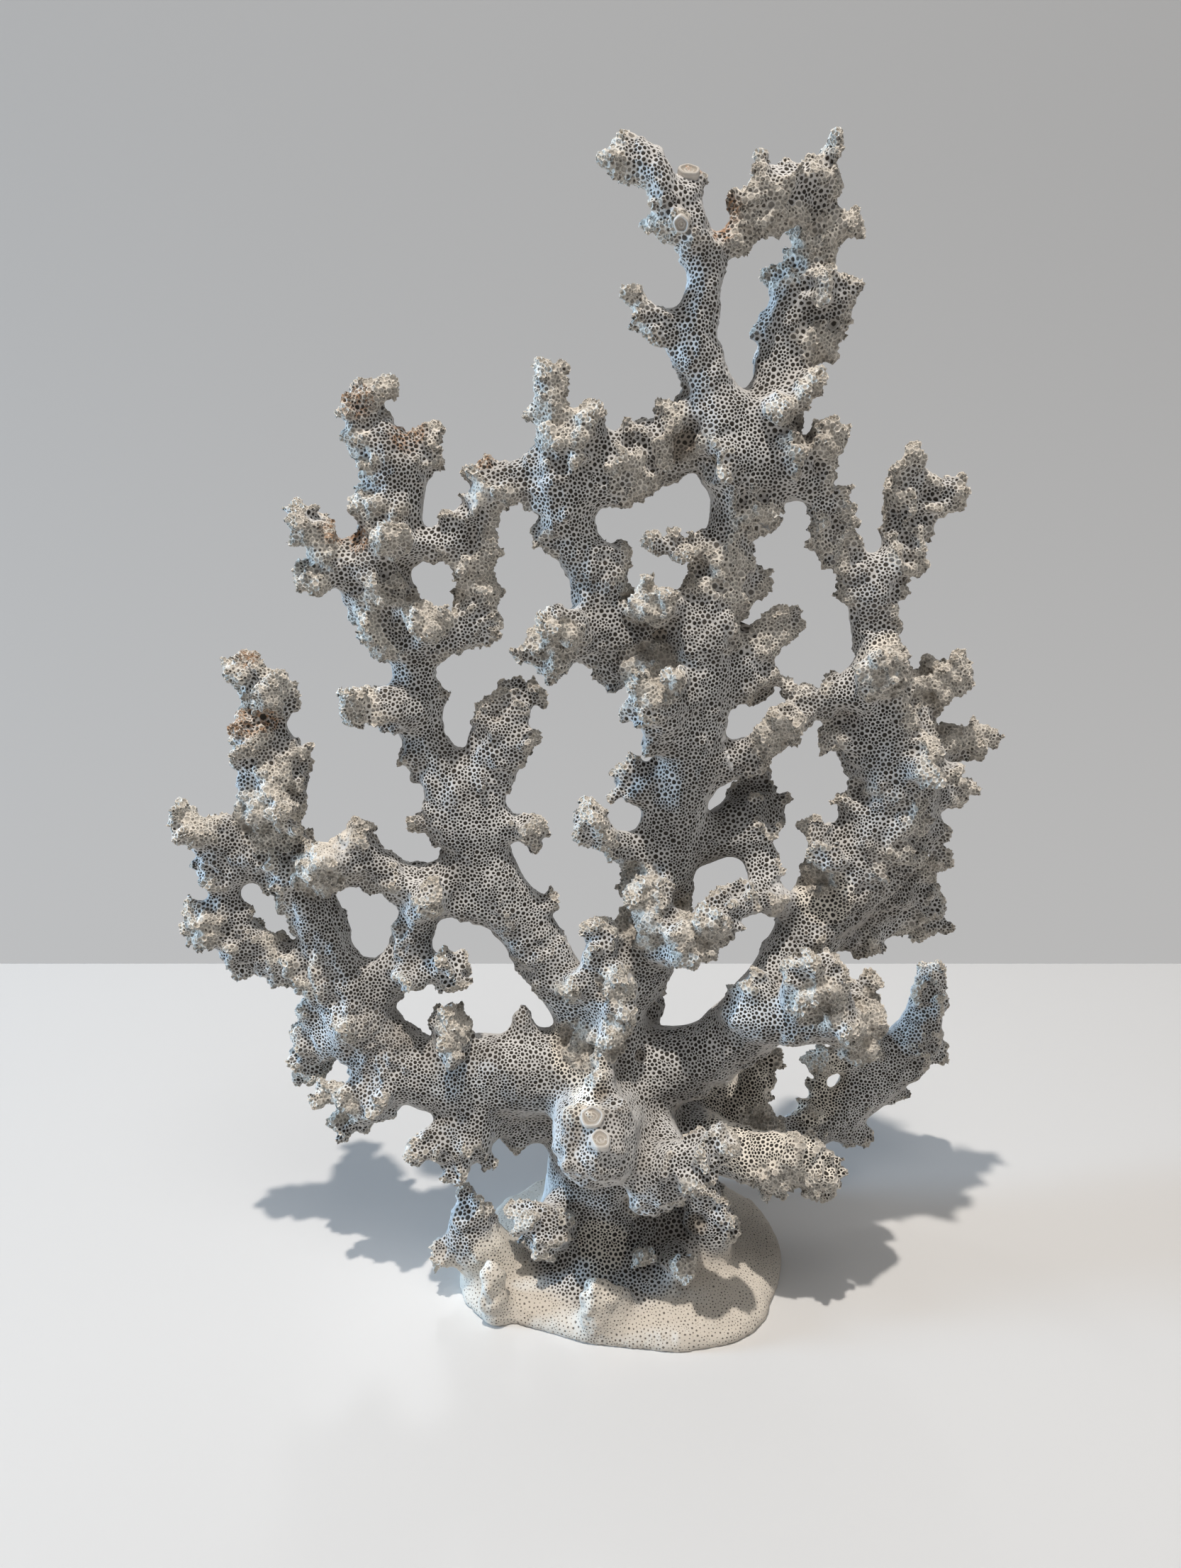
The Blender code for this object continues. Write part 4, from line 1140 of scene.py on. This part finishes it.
# %% Part the limbs
PIECE_NAMES = {name: "coral_" + name for name in LIMB_NAMES}
one_limb = parting_tree()
tube_limbs = nearest_limbs([spot for spot, _, _ in worm_spots])
for index, name in enumerate(LIMB_NAMES):
    add_tree(net, one_limb, {"Limb": float(index)})
    part = evaluated(net)
    cuts = finish_limb(part, [worm for worm, owner in zip(worm_spots, tube_limbs) if owner == index])
    piece = helper_object(part, PIECE_NAMES[name])
    part.name = PIECE_NAMES[name]
    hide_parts(name)
    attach(piece, "root")
    triangles = sum(len(face.vertices) - 2 for face in part.polygons)
    print(name, triangles, "triangles,", cuts, "cut rings")
for helper in (net, crusted, skin):
    bpy.data.objects.remove(helper)
print(clock())

# %% [markdown]
# ## Set the stage
#
# A pale floor with a slight gloss ends behind the coral, where a plain backdrop shows. The backdrop glows
# a little, so that its tone doesn't hang on the lamps. A small warm lamp high above throws the crisp
# shadows, a wide one and a weak low one in front fill them, and a low cool one at the far left tints the
# left edges. A weak one behind gives the sheen on the floor. The lamps are hidden from the camera, because
# some would show behind the coral from other sides. The camera stands where the photograph was taken,
# 0.34 m in front of the fan, and looks 15 degrees down. The view transform is Standard: the default one
# flattens so pale an object.

# %% Place the floor and the backdrop
FLOOR_END = 0.255  # how far behind the fan's middle the floor ends, metres
FLOOR_TONE = (0.74, 0.74, 0.74, 1)
FLOOR_ROUGHNESS = 0.3
WALL_Y = 1.3
WALL_TONE = (0.12, 0.118, 0.116, 1)
WALL_ROUGHNESS = 0.9
WALL_GLOW_TINT = (1.0, 0.985, 0.97, 1)
# The backdrop glows more low down than high up: painted light, standing in for the fall of the lamps' light
# on it.
WALL_GLOW = (0.44, 0.31)  # at the heights below, in that order
WALL_HEIGHTS = (-0.6, 0.9)


def sheet(name, corners, tone, roughness):
    """A flat sheet for the stage. Returns its material's tree."""
    mesh = bpy.data.meshes.new(name)
    mesh.from_pydata(corners, [], [(0, 1, 2, 3)])
    material = bpy.data.materials.new(name)
    material.use_nodes = True
    shader = material.node_tree.nodes["Principled BSDF"]
    shader.inputs["Base Color"].default_value = tone
    shader.inputs["Roughness"].default_value = roughness
    mesh.materials.append(material)
    helper_object(mesh, name)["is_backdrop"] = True
    return material.node_tree


floor_corners = [(-1.5, -1.2, 0), (1.5, -1.2, 0), (1.5, FLOOR_END, 0), (-1.5, FLOOR_END, 0)]
sheet("floor", floor_corners, FLOOR_TONE, FLOOR_ROUGHNESS)
wall_corners = [(-2.5, WALL_Y, -1.5), (2.5, WALL_Y, -1.5), (2.5, WALL_Y, 2.2), (-2.5, WALL_Y, 2.2)]
wall = sheet("backdrop", wall_corners, WALL_TONE, WALL_ROUGHNESS)
wall_place = node(wall, "ShaderNodeTexCoord").outputs["Object"]
wall_height = node(wall, "ShaderNodeSeparateXYZ", {"Vector": wall_place}).outputs["Z"]
wall_shader = wall.nodes["Principled BSDF"]
wall_shader.inputs["Emission Color"].default_value = WALL_GLOW_TINT
feed(wall, wall_shader.inputs["Emission Strength"], ramp(wall, wall_height, *WALL_HEIGHTS, WALL_GLOW))
print("floor ends at", FLOOR_END, "m, backdrop at", WALL_Y, "m")

# %% Place the lights
WORLD_TONE = (0.93, 0.95, 1.0, 1)
WORLD_STRENGTH = 0.10


def lamp(name, place, target, size, watts, colour):
    """A round lamp that shines from a place towards a target, both in metres."""
    light = bpy.data.lights.new(name, "AREA")
    light.shape = "DISK"
    light.size = size
    light.energy = watts
    light.color = colour
    thing = bpy.data.objects.new(name, light)
    bpy.context.scene.collection.objects.link(thing)
    thing.location = place
    thing.visible_camera = False
    thing.rotation_euler = (Vector(target) - Vector(place)).to_track_quat("-Z", "Y").to_euler()


lamp("key lamp", (-0.28, -0.5, 2.4), (0, 0, 0.15), 0.06, 40, (1.0, 0.93, 0.85))
lamp("ceiling", (0.2, -0.9, 2.1), (0, 0, 0.15), 1.2, 8, (1.0, 0.98, 0.95))
lamp("front fill", (0.45, -1.0, 0.3), (0, 0, 0.1), 0.5, 0.6, (1.0, 0.95, 0.88))
lamp("cool window", (-2.2, -0.1, 0.42), (0, 0, 0.2), 0.45, 46, (0.50, 0.74, 1.0))
lamp("glare", (-0.26, 0.89, 0.84), (-0.07, -0.03, 0), 0.12, 0.4, (0.95, 0.97, 1.0))
world = bpy.data.worlds.new("studio")
bpy.context.scene.world = world
world.use_nodes = True
background = world.node_tree.nodes["Background"]
background.inputs["Color"].default_value = WORLD_TONE
background.inputs["Strength"].default_value = WORLD_STRENGTH
bpy.context.scene.view_settings.view_transform = "Standard"
print("lamps:", len(bpy.data.lights))

# %% Place the camera
NEAREST = 0.01  # nearest distance that the camera sees, metres

camera_data = bpy.data.cameras.new("camera")
camera_data.lens = LENS
camera_data.sensor_width = LONG_SIDE
camera_data.clip_start = NEAREST
camera = bpy.data.objects.new("camera", camera_data)
bpy.context.scene.collection.objects.link(camera)
camera.location = EYE
camera.rotation_euler = (math.radians(90 - PITCH), 0, 0)
bpy.context.scene.camera = camera
print("camera at", tuple(round(v, 3) for v in EYE), "m, looking", PITCH, "degrees down")

# %% [markdown]
# ## Compare the sizes
#
# The boxes round the limbs as they came in and round the finished coral are measured, and how far the coral
# has grown past the limbs at each corner is printed: the crust may stand only a millimetre or two proud of
# the limbs.

# %% Print how far the coral has grown
sizes = {"cad": [list(p) for p in cad_box], "visual": [list(p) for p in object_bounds()]}
for label, visual, cad in zip(("low", "high"), sizes["visual"], sizes["cad"]):
    grown = [round((v - c) / MM, 1) for v, c in zip(visual, cad)]
    print("grown past the limbs at the", label, "corner, mm:", grown)
